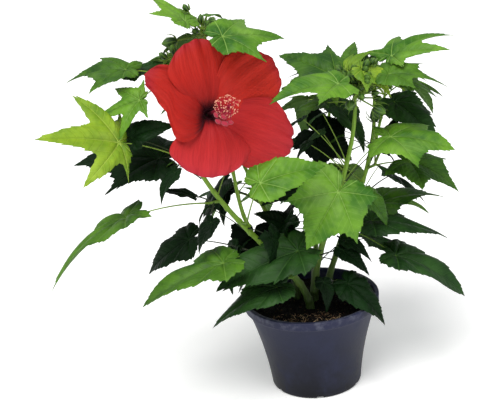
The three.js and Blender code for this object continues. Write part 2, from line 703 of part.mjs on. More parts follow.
// The green cup behind the petals and the stalk that carries it
function calyxSolid(frame) {
  const behind = (share) => frame.throat.clone().addScaledVector(frame.axis, -CALYX_LENGTH * share);
  const cupRadius = (share) => CALYX_NECK + CALYX_RADIUS * Math.sin(share * 1.9);
  const cup = tube(CALYX_ROWS.map(behind), cupRadius, CALYX_SIDES);
  const end = behind(0.9);
  const lead = end.clone().sub(curves.inner_bough.getPoint(PEDUNCLE_AT));
  lead.z -= PEDUNCLE_DIP;
  lead.normalize();
  const foot = footOn('inner_bough', PEDUNCLE_AT, lead, PEDUNCLE_RADII[0]);
  const knee = foot.clone().addScaledVector(lead, foot.distanceTo(end) * 0.5);
  const rows = new THREE.QuadraticBezierCurve3(foot, knee, end).getPoints(5);
  return cup.add(tube(rows, (share) => between(PEDUNCLE_RADII, share), COLUMN_SIDES));
}

function bloom() {
  const frame = bloomFrame();
  return BLOOM.petals.map((petal) => petalSolid(frame, petal))
    .reduce((sum, petal) => sum.add(petal))
    .add(columnSolid(frame))
    .add(calyxSolid(frame));
}

// Assembly
const FINISHES = {
  pot: { color: 0x3c3e50, roughness: 0.5 },
  soil: { color: 0x1d1611, roughness: 0.95 },
  cane: { color: 0x5d8a3a, roughness: 0.6 },
  leaves: { color: 0x3f7d2c, roughness: 0.55 },
  bloom: { color: 0xb8252c, roughness: 0.6 },
};

const plant = new THREE.Group();

function place(name, solid, finish) {
  const mesh = new THREE.Mesh(geometryOf(solid),
    new THREE.MeshStandardMaterial({ ...FINISHES[finish], metalness: 0 }));
  mesh.name = name;
  plant.add(mesh);
}

Object.keys(LIMBS).forEach(growLimb);
const flower = largest(bloom());
const masses = MASSES.map(startMass);
const flowerPiece = { name: 'bloom', body: flower };
const othersOf = (mass) => [flowerPiece, ...masses.filter((other) => other !== mass)];

const growOrgan = (mass, item) => {
  const start = shootPoint(mass.shoot, item.at);
  return item.blade ? leafSolid(start, item) : budSolid(start, item);
};

masses.forEach((mass) => {
  [...(mass.leaves ?? []), ...(mass.buds ?? [])]
    .forEach((item) => addOrgan(mass, growOrgan(mass, item), othersOf(mass), false));
});

// Seeded leaves are added in turn, one from each mass, so that each gets its share of the room
const waiting = masses.map((mass, order) => {
  const draw = random(SEED + order);
  return [...spreadLeaves(mass, draw), ...spreadBuds(mass, draw)];
});
const rounds = Math.max(...waiting.map((items) => items.length));
for (let round = 0; round < rounds; round += 1) {
  masses.forEach((mass, order) => {
    const item = waiting[order][round];
    if (item) addOrgan(mass, growOrgan(mass, item), othersOf(mass), true);
  });
}

place('pot', pot(), 'pot');
place('soil', soil(), 'soil');
Object.entries(limbSolids).forEach(([name, solid]) => place(name, solid, 'cane'));
place('bloom', flower, 'bloom');
masses.forEach((mass) => place(mass.name, largest(mass.body), 'leaves'));

export default plant;
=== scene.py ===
"""Hardy hibiscus shrub in its nursery pot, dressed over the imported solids.

Lengths are millimetres until a mesh is made, and +Z is up. The limbs, shoots, stalks and leaf
outlines follow the same sizes and the same seeded rule as the part's solids.
"""
import json
import math

import bpy
import numpy as np
from mathutils import Matrix

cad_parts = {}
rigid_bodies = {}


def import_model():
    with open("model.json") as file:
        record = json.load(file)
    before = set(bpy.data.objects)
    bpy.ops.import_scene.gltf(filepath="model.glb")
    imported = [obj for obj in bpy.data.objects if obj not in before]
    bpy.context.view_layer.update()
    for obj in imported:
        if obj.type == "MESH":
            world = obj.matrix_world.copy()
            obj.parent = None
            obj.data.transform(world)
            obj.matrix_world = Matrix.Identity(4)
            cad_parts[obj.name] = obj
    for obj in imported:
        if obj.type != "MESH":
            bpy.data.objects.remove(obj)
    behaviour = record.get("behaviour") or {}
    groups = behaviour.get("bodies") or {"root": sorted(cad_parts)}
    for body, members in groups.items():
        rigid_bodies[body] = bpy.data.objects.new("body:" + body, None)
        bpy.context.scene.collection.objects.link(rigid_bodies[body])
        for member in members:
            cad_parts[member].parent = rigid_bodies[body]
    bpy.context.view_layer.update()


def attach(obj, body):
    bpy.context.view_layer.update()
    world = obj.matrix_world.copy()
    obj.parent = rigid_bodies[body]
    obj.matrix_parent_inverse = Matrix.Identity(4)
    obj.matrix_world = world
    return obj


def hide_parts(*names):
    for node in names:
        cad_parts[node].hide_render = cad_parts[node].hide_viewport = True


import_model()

MM = 0.001
X, Y, Z = np.eye(3)

# Sizes shared with the solids

POT_HEIGHT = 155
FOOT_RADIUS = 77
FOOT_EDGE = 6
RIM_RADIUS = 112
COLLAR_HEIGHT = 15
COLLAR_STEP = 2.5
LIP = 7
LIP_ROLL = 1.8
WALL = 3
WALL_SPREAD = (14, 18)
NOTCHES = 6
NOTCH_WIDTH = 11
NOTCH_HEIGHT = 4
SOIL_TOP = 141.5
GAP = 0.3

LIMBS = {
    "left_cane": {"route": [(-4, -25), (-4, -25, 232), (-212, -84, 366), (-182, -2, 530)],
                  "radii": (6.2, 2.6)},
    "inner_bough": {"on": "left_cane", "at": 0.42, "radii": (3.4, 2.1),
                    "route": [(-116, -30, 345), (-110, 5, 500), (-133, 18, 588)]},
    "middle_cane": {"route": [(5, 2), (5, 2, 240), (80, -8, 350), (90, 0, 470)],
                    "radii": (6.4, 2.8)},
    "right_cane": {"route": [(26, 16), (26, 16, 205), (126, 46, 320), (126, 50, 468)],
                   "radii": (5.8, 2.4)},
    "back_cane": {"route": [(8, 34), (8, 34, 225), (42, 88, 320), (58, 116, 436)],
                  "radii": (5.2, 2.3)},
    "back_left_cane": {"route": [(-22, 22), (-22, 22, 225), (-95, 100, 320), (-112, 126, 436)],
                       "radii": (5.2, 2.3)},
    "back_right_cane": {"route": [(34, 44), (34, 44, 210), (122, 122, 295), (152, 148, 428)],
                        "radii": (5.2, 2.3)},
}
FOOT_FLARE = 1.6
FLARE_FALL = 14
TAPER = 0.85

# Lobes: direction from the midrib, reach and spread. Ribs: the main veins' directions.
LEAF_KINDS = {
    "heart": {"lobes": [(0, 1, 46)], "body": 0.42, "ribs": (0, 38, 82, 130)},
    "maple": {"lobes": [(0, 1, 37), (47, 0.72, 29)], "body": 0.46, "ribs": (0, 47, 92, 135)},
    "broad": {"lobes": [(0, 1, 50), (52, 0.80, 46), (112, 0.62, 48)], "body": 0.58,
              "ribs": (0, 52, 112, 150)},
    "star": {"lobes": [(0, 1, 29), (50, 0.76, 25), (104, 0.46, 24)], "body": 0.30,
             "ribs": (0, 50, 104, 145)},
}
BASE_NOTCH = 0.05
BASE_EAR = 0.27
BASE_FALL = 2.5
LEAF_BREADTH = 0.95
LEAF_BEND = 0.55
LEAF_FOLD = 0.22
LEAF_SAG = 0.5
BASE_BEND = 0.4
LOBE_FALL = 0.9
LOBE_BLEND = 6
STALK_RADII = (1.6, 0.9)
STALK_ARCH = 0.10
SHOOT_RADII = (2.5, 1.9)
BUD_LENGTH_TO_WIDTH = 1.55

BLOOM = {
    "throat": (-138, -66, 496), "facing": (-72, 21), "twist": -5,
    "petals": [(96, 111, 54), (31, 127, 55), (-27, 134, 55), (-98, 96, 61), (163, 102, 51)],
    "throat_radius": 7, "depth": 25, "funnel": 0.17, "reflex": 8, "overlap": 4.5,
}
PETAL_BASE = 0.06
PETAL_SPAN = 0.62
PETAL_ROUNDING = 0.26
PETAL_CUP = 6
COLUMN_LENGTH = 66
COLUMN_LEAN = 16
BRUSH_SPAN = (0.70, 1.1)
CALYX_LENGTH = 30
CALYX_NECK = 3.5
CALYX_RADIUS = 15
PEDUNCLE_RADII = (2.6, 3.2)
PEDUNCLE_AT = 0.60
PEDUNCLE_DIP = 20


def leaf(kind, at, stalk, blade, tint):
    """A leaf: its place on the shoot, its stalk's bearing, rise and length, and its blade's
    heading, droop, roll and length."""
    return {"kind": kind, "at": at, "stalk": stalk, "blade": blade, "tint": tint}


def bud(at, stalk, width):
    return {"at": at, "stalk": stalk, "width": width}


def mass(name, on, at, length, leaves=(), buds=(), **more):
    """One shoot: its limb, place on it and length, and the leaves and buds that it carries."""
    return {"name": "leaves_" + name, "on": on, "at": at, "length": length,
            "leaves": [*leaves], "buds": [*buds], **more}


MASSES = [
    mass("summit", "inner_bough", 1, 22, [
        leaf("maple", 0.4, (-123, 36, 58), (141, -37, 9, 79), "fresh"),
        leaf("maple", 0.7, (-72, 6, 98), (14, 0, 24, 104), "fresh"),
        leaf("heart", 0.9, (-62, 6, 52), (-10, -12, 22, 52), "fresh"),
        leaf("heart", 0.3, (60, 5, 45), (50, 25, 0, 85), "green"),
        leaf("maple", 0.2, (120, -5, 50), (120, 30, 0, 80), "green"),
    ], [bud(0.98, (90, 70, 8), 10), bud(0.8, (-20, 45, 14), 11), bud(0.9, (-160, 50, 14), 9),
        bud(0.5, (-158, -2, 46), 16)]),
    mass("top_left", "left_cane", 1, 28, [
        leaf("star", 0.5, (-128, -9, 96), (175, 12, -36, 88), "fresh"),
        leaf("maple", 0.2, (-165, 20, 85), (174, -5, -10, 102), "green"),
        leaf("maple", 0.4, (176, 8, 78), (25, -18, 9, 64), "dusk"),
        leaf("heart", 0.9, (120, 10, 48), (120, 30, 0, 84), "green"),
    ], [bud(1, (-160, 40, 26), 10)]),
    mass("star", "left_cane", 0.76, 16, [
        leaf("star", 0.9, (-154, 25, 109), (-138, -24, -58, 134), "lime"),
        leaf("heart", 0.6, (-161, 31, 92), (-8, -26, 48, 70), "deep"),
        leaf("maple", 0.4, (150, -4, 50), (172, -8, -22, 148), "deep"),
        leaf("heart", 0.7, (-115, -20, 34), (-150, 40, 0, 55), "deep"),
    ], bearing=-160, rise=20),
    mass("far_left", "left_cane", 0.6, 16, [
        leaf("heart", 0.9, (-169, -2, 130), (-167, 18, 6, 162), "green"),
        leaf("heart", 0.5, (132, 0, 52), (174, -26, 0, 50), "deep"),
        leaf("heart", 0.4, (-100, -30, 40), (-140, 40, 0, 55), "deep"),
    ], bearing=-150, rise=5),
    mass("under_bloom", "left_cane", 0.5, 16, [
        leaf("heart", 0.9, (-73, 47, 126), (0, -19, 35, 103), "fresh"),
        leaf("heart", 0.4, (104, 19, 48), (-12, 50, 32, 64), "deep"),
    ], bearing=-60, rise=15),
    mass("low_left", "left_cane", 0.34, 18, [
        leaf("heart", 0.7, (164, 11, 116), (173, 25, -26, 103), "deep"),
        leaf("heart", 0.9, (-126, 12, 90), (-169, 8, -3, 145), "green"),
        leaf("heart", 0.4, (166, 10, 44), (180, 50, -18, 68), "deep"),
    ], bearing=-165, rise=10),
    mass("base_left", "left_cane", 0.2, 16, [
        leaf("heart", 0.9, (-114, 5, 46), (-164, 9, -9, 122), "dusk"),
        leaf("heart", 0.6, (150, 20, 48), (165, 30, -10, 74), "deep"),
    ], bearing=-125, rise=20),
    mass("low_front", "middle_cane", 0.27, 16, [
        leaf("heart", 0.9, (-119, 28, 85), (-165, 7, -17, 146), "dusk"),
        leaf("heart", 0.4, (-30, 20, 44), (-30, 25, 10, 60), "deep"),
    ], bearing=-95, rise=15),
    mass("front", "middle_cane", 0.66, 16, [
        leaf("broad", 0.8, (-97, 4, 70), (-141, 44, -47, 104), "fresh"),
        leaf("heart", 0.5, (-20, -30, 50), (-25, 45, 20, 60), "green"),
    ], bearing=-110, rise=20),
    mass("middle_top", "middle_cane", 1, 38, [
        leaf("maple", 0.5, (-177, 45, 41), (145, -26, -21, 118), "green"),
        leaf("maple", 0.9, (153, 57, 30), (10, -38, 6, 56), "lime"),
        leaf("maple", 0.6, (-112, 22, 95), (-160, -10, -13, 114), "fresh"),
        leaf("maple", 0.3, (-30, 36, 72), (-18, -2, 10, 95), "green"),
        leaf("heart", 0.1, (140, -6, 60), (157, 1, -16, 55), "green"),
        leaf("maple", 0.75, (122, 40, 26), (80, -48, -25, 74), "green"),
        leaf("maple", 0.5, (-70, 58, 52), (-32, 24, 14, 62), "lime"),
    ], [bud(0.98, (-100, 55, 22), 13), bud(0.85, (20, 40, 26), 13), bud(0.9, (-160, 30, 34), 14),
        bud(0.55, (-105, -4, 46), 16), bud(0.4, (-50, -16, 42), 15)]),
    mass("right_top", "right_cane", 1, 28, [
        leaf("star", 0.9, (-50, 48, 62), (26, -23, 3, 128), "fresh"),
        leaf("heart", 0.4, (-12, 10, 52), (6, 12, 10, 62), "green"),
        leaf("maple", 0.6, (55, 15, 55), (40, 15, 0, 95), "green"),
    ], [bud(0.98, (120, 60, 20), 12)]),
    mass("right", "right_cane", 0.72, 16, [
        leaf("broad", 0.9, (-74, 44, 94), (-18, -3, 11, 102), "fresh"),
        leaf("broad", 0.5, (-12, 5, 60), (-28, 10, 8, 92), "green"),
        leaf("heart", 0.7, (49, 40, 60), (35, -60, 0, 42), "deep"),
    ], [bud(0.9, (-90, 71, 88), 16)], bearing=-45, rise=25),
    mass("mid_right", "right_cane", 0.42, 18, [
        leaf("heart", 0.7, (35, 35, 57), (7, -17, 5, 124), "green"),
        leaf("heart", 0.9, (-50, 37, 44), (-7, 4, 9, 132), "dusk"),
        leaf("heart", 0.6, (-33, -24, 80), (-8, 16, 8, 134), "dusk"),
        leaf("heart", 0.3, (-110, 2, 40), (-20, 23, 4, 56), "deep"),
    ], bearing=-30, rise=15),
    mass("rim", "right_cane", 0.1, 18, [
        leaf("heart", 0.8, (-73, 17, 57), (-34, 30, 19, 90), "deep"),
        leaf("heart", 0.5, (-107, 24, 77), (-75, 40, -22, 50), "deep"),
    ], bearing=-50, rise=30),
    mass("back_top", "back_cane", 1, 26, spread={"count": 8, "buds": 2}),
    mass("dark", "back_cane", 0.6, 14, [
        leaf("broad", 0.9, (-92, 85, 105), (-11, 32, 46, 80), "shade"),
        leaf("heart", 0.6, (-106, 27, 64), (-173, -2, -18, 88), "deep"),
        leaf("heart", 0.4, (-130, -20, 92), (-170, -36, -48, 66), "deep"),
    ], bearing=-110, rise=20),
    mass("back", "back_cane", 0.58, 26, bearing=90, rise=25, spread={"count": 6, "bearing": 95}),
    mass("back_left_top", "back_left_cane", 1, 28, spread={"count": 5, "buds": 2}),
    mass("back_left", "back_left_cane", 0.56, 28, bearing=140, rise=20,
         spread={"count": 6, "bearing": 150}),
    mass("back_right_top", "back_right_cane", 1, 26, spread={"count": 8, "buds": 1}),
    mass("back_right", "back_right_cane", 0.55, 28, bearing=35, rise=20,
         spread={"count": 7, "bearing": 40}),
]
SEED = 20419
GOLDEN_TURN = 137.5
FAN = 160
SPREAD_STALK = (30, 75)
SPREAD_BLADE = (72, 118)
SPREAD_RISE = (-10, 45)
SPREAD_DROOP = (12, 42)
SPREAD_KINDS = ["heart", "maple", "heart", "maple", "star"]
SPREAD_TINTS = ["green", "dusk", "fresh", "deep", "green", "dusk"]

# Small geometry

WORD = 0xFFFFFFFF


def random(seed):
    """The same stream of shares from 0 to 1 as the solids draw from."""
    state = [seed & WORD]

    def draw():
        state[0] = (state[0] + 0x6D2B79F5) & WORD
        now = state[0]
        mixed = ((now ^ (now >> 15)) * (now | 1)) & WORD
        more = ((mixed ^ (mixed >> 7)) * (mixed | 61)) & WORD
        mixed = ((mixed + more) & WORD) ^ mixed
        return (mixed ^ (mixed >> 14)) / (WORD + 1)

    return draw


def between(ends, share):
    return ends[0] + (ends[1] - ends[0]) * share


def smooth(value):
    value = np.clip(value, 0, 1)
    return value * value * (3 - 2 * value)


def hump(value, middle, width):
    """A smooth rise to 1 at the middle and back to 0."""
    return np.exp(-((value - middle) / width) ** 2)


def unit(vector):
    return vector / np.linalg.norm(vector)


def way(bearing, rise):
    """The direction of a bearing round +Z and a rise above the level, in degrees."""
    bearing, rise = math.radians(bearing), math.radians(rise)
    return np.array([math.cos(bearing) * math.cos(rise), math.sin(bearing) * math.cos(rise),
                     math.sin(rise)])


def turned(vector, axis, degrees):
    turn = math.radians(degrees)
    return (vector * math.cos(turn) + np.cross(axis, vector) * math.sin(turn)
            + axis * np.dot(axis, vector) * (1 - math.cos(turn)))


def bezier(points, share):
    """Points of a Bezier curve of any degree at an array of shares."""
    rows = [np.asarray(point, float) for point in points]
    share = np.atleast_1d(share)[:, None]
    while len(rows) > 1:
        rows = [a * (1 - share) + b * share for a, b in zip(rows, rows[1:])]
    return rows[0] * np.ones_like(share)


def bezier_way(points, share):
    ends = bezier(points, np.array([max(0, share - 0.0001), min(1, share + 0.0001)]))
    return unit(ends[1] - ends[0])


def distances(track):
    """How far each point of a track lies along it."""
    return np.concatenate([[0], np.cumsum(np.linalg.norm(np.diff(track, axis=0), axis=1))])


def round_turns(sides):
    return 2 * np.pi * np.arange(sides) / sides


def ring(across, beside, sides):
    """The corners of a circle of radius 1 in the plane of two directions."""
    turns = round_turns(sides)[:, None]
    return across * np.cos(turns) + beside * np.sin(turns)


def hoops(rows, sides, looped=False):
    """Faces between the rings of a tube. A looped one joins its last ring to its first."""
    faces = []
    for row in range(rows if looped else rows - 1):
        here, beyond = row * sides, (row + 1) % rows * sides
        for side in range(sides):
            after = (side + 1) % sides
            faces.append((here + side, here + after, beyond + after, beyond + side))
    return faces


def tube(points, radii, sides):
    """Corners and faces of a closed tube: radii may hold one radius a row, or one a corner."""
    points = np.asarray(points, float)
    radii = np.asarray(radii, float)
    if radii.ndim == 1:
        radii = np.repeat(radii[:, None], sides, axis=1)
    ways = np.gradient(points, axis=0)
    ways /= np.linalg.norm(ways, axis=1)[:, None]
    across = np.cross(X, ways[0])
    if np.dot(across, across) < 0.01:
        across = np.cross(Y, ways[0])
    corners = []
    for point, along, radius in zip(points, ways, radii):
        across = unit(across - along * np.dot(across, along))
        corners.append(point + ring(across, np.cross(along, across), sides) * radius[:, None])
    rows = len(points)
    start, end, last = rows * sides, rows * sides + 1, (rows - 1) * sides
    faces = hoops(rows, sides)
    for side in range(sides):
        after = (side + 1) % sides
        faces += [(start, after, side), (end, last + side, last + after)]
    return np.concatenate(corners + [points[:1], points[-1:]]), faces


def show(name, data):
    made = bpy.data.objects.new(name, data)
    bpy.context.scene.collection.objects.link(made)
    return made


def places_of(mesh):
    """The corners of a mesh in millimetres."""
    flat = np.zeros(len(mesh.vertices) * 3)
    mesh.vertices.foreach_get("co", flat)
    return flat.reshape(-1, 3) / MM


class Bundle:
    """Sheets and tubes gathered in millimetres, to become the mesh of one piece."""

    def __init__(self, name, finishes):
        self.name = name
        self.finishes = finishes
        self.corners, self.faces, self.slots, self.places = [], [], [], []
        self.marks = {"tone": [], "under": [], "tip": []}
        self.count = 0

    def add(self, corners, faces, finish=None, places=None, **marks):
        base = self.count
        slot = self.finishes.index(finish) if finish else 0
        self.corners.append(np.asarray(corners, float))
        self.faces.extend(tuple(corner + base for corner in face) for face in faces)
        self.slots.extend([slot] * len(faces))
        size = sum(len(face) for face in faces)
        self.places.append(np.zeros((size, 2)) if places is None else places)
        for mark, values in self.marks.items():
            values.append(np.ones(len(corners)) * marks.get(mark, 0.0))
        self.count += len(corners)

    def piece(self):
        mesh = bpy.data.meshes.new(self.name)
        mesh.from_pydata(np.concatenate(self.corners) * MM, [], self.faces)
        layer = mesh.uv_layers.new(name="place")
        layer.data.foreach_set("uv", np.concatenate(self.places).ravel())
        for mark, values in self.marks.items():
            attribute = mesh.attributes.new(mark, "FLOAT", "POINT")
            attribute.data.foreach_set("value", np.concatenate(values))
        for finish in self.finishes:
            mesh.materials.append(finish.material)
        mesh.polygons.foreach_set("material_index", self.slots)
        mesh.polygons.foreach_set("use_smooth", [True] * len(self.faces))
        mesh.update()
        return show(self.name, mesh)


# Finishes


def paint(red, green, blue):
    """A colour given as a screen shows it, 0 to 255, as light."""
    shares = [channel / 255 for channel in (red, green, blue)]
    return [s / 12.92 if s <= 0.04045 else ((s + 0.055) / 1.055) ** 2.4 for s in shares] + [1.0]


class Wire:
    """A shader socket whose sums, products and quotients add Math nodes."""

    def __init__(self, finish, socket):
        self.finish = finish
        self.socket = socket

    def math(self, operation, *values):
        return self.finish.node("ShaderNodeMath", {"operation": operation}, values)

    def __add__(self, other):
        return self.math("ADD", self, other)

    def __mul__(self, other):
        return self.math("MULTIPLY", self, other)

    def __sub__(self, other):
        return self.math("SUBTRACT", self, other)

    def __rsub__(self, other):
        return self.math("SUBTRACT", other, self)

    def __truediv__(self, other):
        return self.math("DIVIDE", self, other)

    def __abs__(self):
        return self.math("ABSOLUTE", self)

    def fraction(self):
        return self.math("FRACT", self)

    def wave(self):
        return self.math("SINE", self)

    __radd__ = __add__
    __rmul__ = __mul__


class Tree:
    """A tree of shader or geometry nodes."""

    def add(self, kind, settings=None, values=()):
        """One node: first its settings, then the values or links of its sockets."""
        made = self.tree.nodes.new(kind)
        for setting, value in (settings or {}).items():
            if setting == "stops":
                stops = made.color_ramp.elements
                while len(stops) < len(value):
                    stops.new(1)
                for stop, (place, colour) in zip(stops, value):
                    stop.position = place
                    stop.color = paint(*colour)
            else:
                setattr(made, setting, value)
        for socket, value in values.items() if isinstance(values, dict) else enumerate(values):
            self.join(made.inputs[socket], value)
        return made

    def join(self, socket, value):
        if isinstance(value, Wire):
            value = value.socket
        if isinstance(value, bpy.types.NodeSocket):
            self.tree.links.new(value, socket)
        else:
            socket.default_value = value


class Finish(Tree):
    """One procedural material of the plant or its pot. Colours are as in paint."""

    def __init__(self, name, **constants):
        self.material = bpy.data.materials.new(name)
        self.material.use_nodes = True
        self.tree = self.material.node_tree
        self.tree.nodes.clear()
        self.shader = self.add("ShaderNodeBsdfPrincipled", values={
            socket.replace("_", " "): value for socket, value in constants.items()})
        self.add("ShaderNodeOutputMaterial", values=[self.shader.outputs[0]])

    def node(self, kind, settings=None, values=(), output=0):
        made = self.add(kind, settings, values)
        if isinstance(output, tuple):
            return tuple(Wire(self, made.outputs[number]) for number in output)
        return Wire(self, made.outputs[output])

    def feed(self, socket, value):
        self.join(self.shader.inputs[socket], value)

    def mix(self, share, one, other):
        one, other = (tone if isinstance(tone, Wire) else paint(*tone) for tone in (one, other))
        return self.node("ShaderNodeMix", {"data_type": "RGBA"}, {0: share, 6: one, 7: other}, 2)

    def ramp(self, share, stops):
        return self.node("ShaderNodeValToRGB", {"stops": stops}, [share])

    def step(self, value, low, high):
        return self.node("ShaderNodeMapRange", {"interpolation_type": "SMOOTHSTEP"},
                         [value, low, high, 0.0, 1.0])

    def objects(self):
        return self.node("ShaderNodeTexCoord", output="Object")

    def parts(self, vector, output=(0, 1, 2)):
        return self.node("ShaderNodeSeparateXYZ", values=[vector], output=output)

    def place(self):
        return self.parts(self.node("ShaderNodeUVMap", {"uv_map": "place"}), (0, 1))

    def drawn(self, where, share):
        """Coordinates that draw a pattern out along Z."""
        return self.node("ShaderNodeMapping", values={"Vector": where, "Scale": (1, 1, share)})

    def mark(self, name):
        return self.node("ShaderNodeAttribute", {"attribute_name": name}, output="Fac")

    def noise(self, scale, detail=3.0, where=None, rough=0.5):
        return self.node("ShaderNodeTexNoise", values={
            "Vector": where or self.objects(), "Scale": scale, "Detail": detail,
            "Roughness": rough})

    def cells(self, scale, where):
        return self.node("ShaderNodeTexVoronoi", values={"Vector": where, "Scale": scale})

    def bump(self, height, strength, distance):
        self.feed("Normal", self.node("ShaderNodeBump", values={
            "Strength": strength, "Distance": distance, "Height": height}))


SIDE_RIB_SPACING = 0.105
SIDE_RIB_SLANT = 0.85


def leaf_finish(name, blade, light, rib, under, gloss):
    """Leaf tissue: pale ribs, a herringbone of side ribs, mottling that is partly its own and
    partly painted light and shade, a painted sheen and a duller underside.
    """
    finish = Finish(name, Specular_IOR_Level=gloss)
    along, across = finish.place()
    far = abs(across)
    rib_width = 0.0095 - 0.0075 * along
    main = 1 - finish.step(far / rib_width, 0.3, 1.3)
    phase = ((along - far * SIDE_RIB_SLANT) / SIDE_RIB_SPACING).fraction()
    from_line = 0.5 - abs(phase - 0.5)
    side = 1 - finish.step(from_line, 0.01, 0.09)
    side = side * finish.step(far, 0.0, 0.02)
    where = finish.objects()
    fine = finish.noise(700, 2, where)
    patches = finish.noise(30, 4, where, 0.6)
    below = finish.mark("under")
    tone = finish.mark("tone")
    # Painted light and shade: broad and smaller patches lighten and darken the blade as light and
    # shadow would, and pale patches paint a sheen.
    broad = finish.step(finish.noise(13, 2, where), 0.41, 0.6)
    lit = tone * 0.2 + finish.step(patches, 0.39, 0.64) * 0.4 + broad * 0.4
    tissue = finish.mix(lit, blade, light)
    sheen = finish.step(finish.noise(19, 3, where, 0.55), 0.5, 0.74)
    tissue = finish.mix(sheen * 0.26, tissue, rib)
    line = main * (0.74 - 0.56 * finish.step(along, 0.1, 0.75))
    tissue = finish.mix(line + side * 0.14 * (1 - main), tissue, rib)
    duller = finish.mix(main * 0.55 + side * 0.25, under, rib)
    finish.feed("Base Color", finish.mix(below, tissue, duller))
    finish.feed("Roughness", 0.46 + below * 0.2 + patches * 0.16)
    quilt = (phase * math.tau).wave() * 0.24
    relief = (fine * 0.14 + quilt - main * 0.3 - side * 0.3 + patches * 1.8) * (1 - below * 1.8)
    finish.bump(relief, 0.8, 0.0013)
    return finish


# Each tint's name, blade, lit blade, ribs, underside and gloss. The lit blade is painted light, and
# the dusky, deep and shaded tints are darker greens that also paint the shade of leaves inside and
# behind the crown.
LEAF_TONES = {
    "lime": ("lime leaf", (74, 116, 14), (142, 172, 38), (176, 198, 84), (126, 156, 60), 0.28),
    "fresh": ("fresh leaf", (38, 90, 14), (106, 152, 38), (142, 178, 90), (104, 142, 58), 0.24),
    "green": ("green leaf", (24, 64, 12), (82, 126, 28), (102, 140, 56), (78, 112, 48), 0.22),
    "dusk": ("dusky leaf", (14, 42, 12), (40, 78, 24), (60, 98, 42), (54, 88, 42), 0.2),
    "deep": ("deep shade leaf", (5, 22, 6), (16, 44, 13), (27, 56, 22), (32, 58, 26), 0.1),
    "shade": ("shaded leaf", (2, 11, 4), (6, 20, 8), (11, 29, 13), (10, 26, 12), 0.06),
}
TINTS = {tint: leaf_finish(*tones) for tint, tones in LEAF_TONES.items()}


def stem_finish(name, low, high, streak, bottom, top):
    """Green bark: lighter with height, with faint streaks and pale specks."""
    finish = Finish(name, Roughness=0.5, Specular_IOR_Level=0.4)
    where = finish.objects()
    height = finish.parts(where)[2]
    rise = finish.step(height, bottom, top)
    colour = finish.mix(rise, low, high)
    drawn = finish.drawn(where, 0.12)
    grain = finish.noise(420, 3, drawn)
    colour = finish.mix(finish.step(grain, 0.42, 0.72) * 0.45, colour, streak)
    specks = 1 - finish.step(finish.cells(300, where), 0.08, 0.2)
    colour = finish.mix(specks * 0.35, colour, (176, 178, 120))
    finish.feed("Base Color", colour)
    finish.feed("Roughness", 0.42 + grain * 0.25)
    finish.bump(grain + specks * 0.6, 0.4, 0.0006)
    return finish


CANE = stem_finish("cane bark", (50, 70, 26), (124, 164, 46), (74, 112, 34), 0.14, 0.31)
SHOOT = stem_finish("shoot", (84, 120, 36), (124, 160, 54), (84, 112, 44), 0.2, 0.5)
STALKS = stem_finish("leaf stalk", (80, 112, 34), (126, 158, 54), (94, 118, 42), 0.15, 0.42)
# Painted shade: a darker copy of the leaf stalks, for stalks inside the crown and under dark
# leaves.
STALKS_IN_SHADE = stem_finish("shade-darkened leaf stalk", (26, 38, 18), (48, 64, 28), (24, 36, 18), 0.15, 0.5)
BRACTLET = stem_finish("bractlet", (66, 96, 34), (108, 142, 52), (80, 108, 42), 0.3, 0.55)


def bud_finish():
    """Bud calyx: green with paler ribs and a warmer tip."""
    finish = Finish("bud calyx", Roughness=0.48, Specular_IOR_Level=0.4)
    along, around = finish.place()
    rib = 1 - finish.step(abs(((around * 5).fraction()) - 0.5), 0.03, 0.14)
    colour = finish.ramp(along, [(0.0, (18, 40, 10)), (0.6, (34, 68, 16)),
                                 (1.0, (86, 124, 34))])
    colour = finish.mix(rib * 0.6, colour, (110, 148, 50))
    down = finish.noise(700, 2)
    finish.feed("Base Color", finish.mix(down * 0.3, colour, (40, 74, 26)))
    finish.bump(down * 0.5 + rib * 0.6, 0.4, 0.0005)
    return finish


BUD = bud_finish()


def petal_finish(name, body, edge, deep):
    """Petal: a dark throat, partly the bloom's own dark eye and partly painted shade in the funnel,
    that runs out in streaks; fine folds with painted shade in their creases, and a silky surface.
    """
    finish = Finish(name, Roughness=0.52, Specular_IOR_Level=0.2)
    along, across = finish.place()
    spread = finish.node("ShaderNodeCombineXYZ", values=[across * 7, along * 0.8, 0.0])
    streaks = finish.noise(3.2, 4, spread, 0.6)
    fine = finish.noise(11, 2, spread)
    drawn = finish.node("ShaderNodeCombineXYZ", values=[across * 30, along * 0.8, 0.3])
    # Creases: the bump sinks them, and painted shade darkens them.
    crease_and_shade = 1 - finish.step(abs(finish.noise(1.0, 2, drawn) - 0.5), 0.0, 0.05)
    crease_and_shade = crease_and_shade * finish.step(along, 0.05, 0.3) * (1 - finish.step(along, 0.75, 1.0))
    rim = finish.step(along + finish.noise(6, 3) * 0.3, 0.98, 1.2)
    reach = along - (streaks - 0.5) * 0.22
    # The dark throat and the wider flush: partly the bloom's own dark eye, partly painted shade
    # where the petal runs into the funnel.
    throat = 1 - finish.step(reach, 0.0, 0.19)
    flush_and_shade = 1 - finish.step(reach, 0.1, 0.6)
    colour = finish.mix(finish.step(along, 0.35, 1.0), body, edge)
    colour = finish.mix(finish.step(fine, 0.45, 0.75) * 0.12, colour, deep)
    colour = finish.mix(crease_and_shade * 0.24, colour, deep)
    colour = finish.mix(rim * 0.45, colour, (128, 18, 48))
    colour = finish.mix(flush_and_shade * 0.4, colour, deep)
    colour = finish.mix(throat, colour, (48, 5, 14))
    finish.feed("Base Color", colour)
    finish.feed("Roughness", 0.46 + fine * 0.18)
    finish.bump(fine + streaks * 0.8 - crease_and_shade * 0.9, 0.5, 0.0009)
    return finish


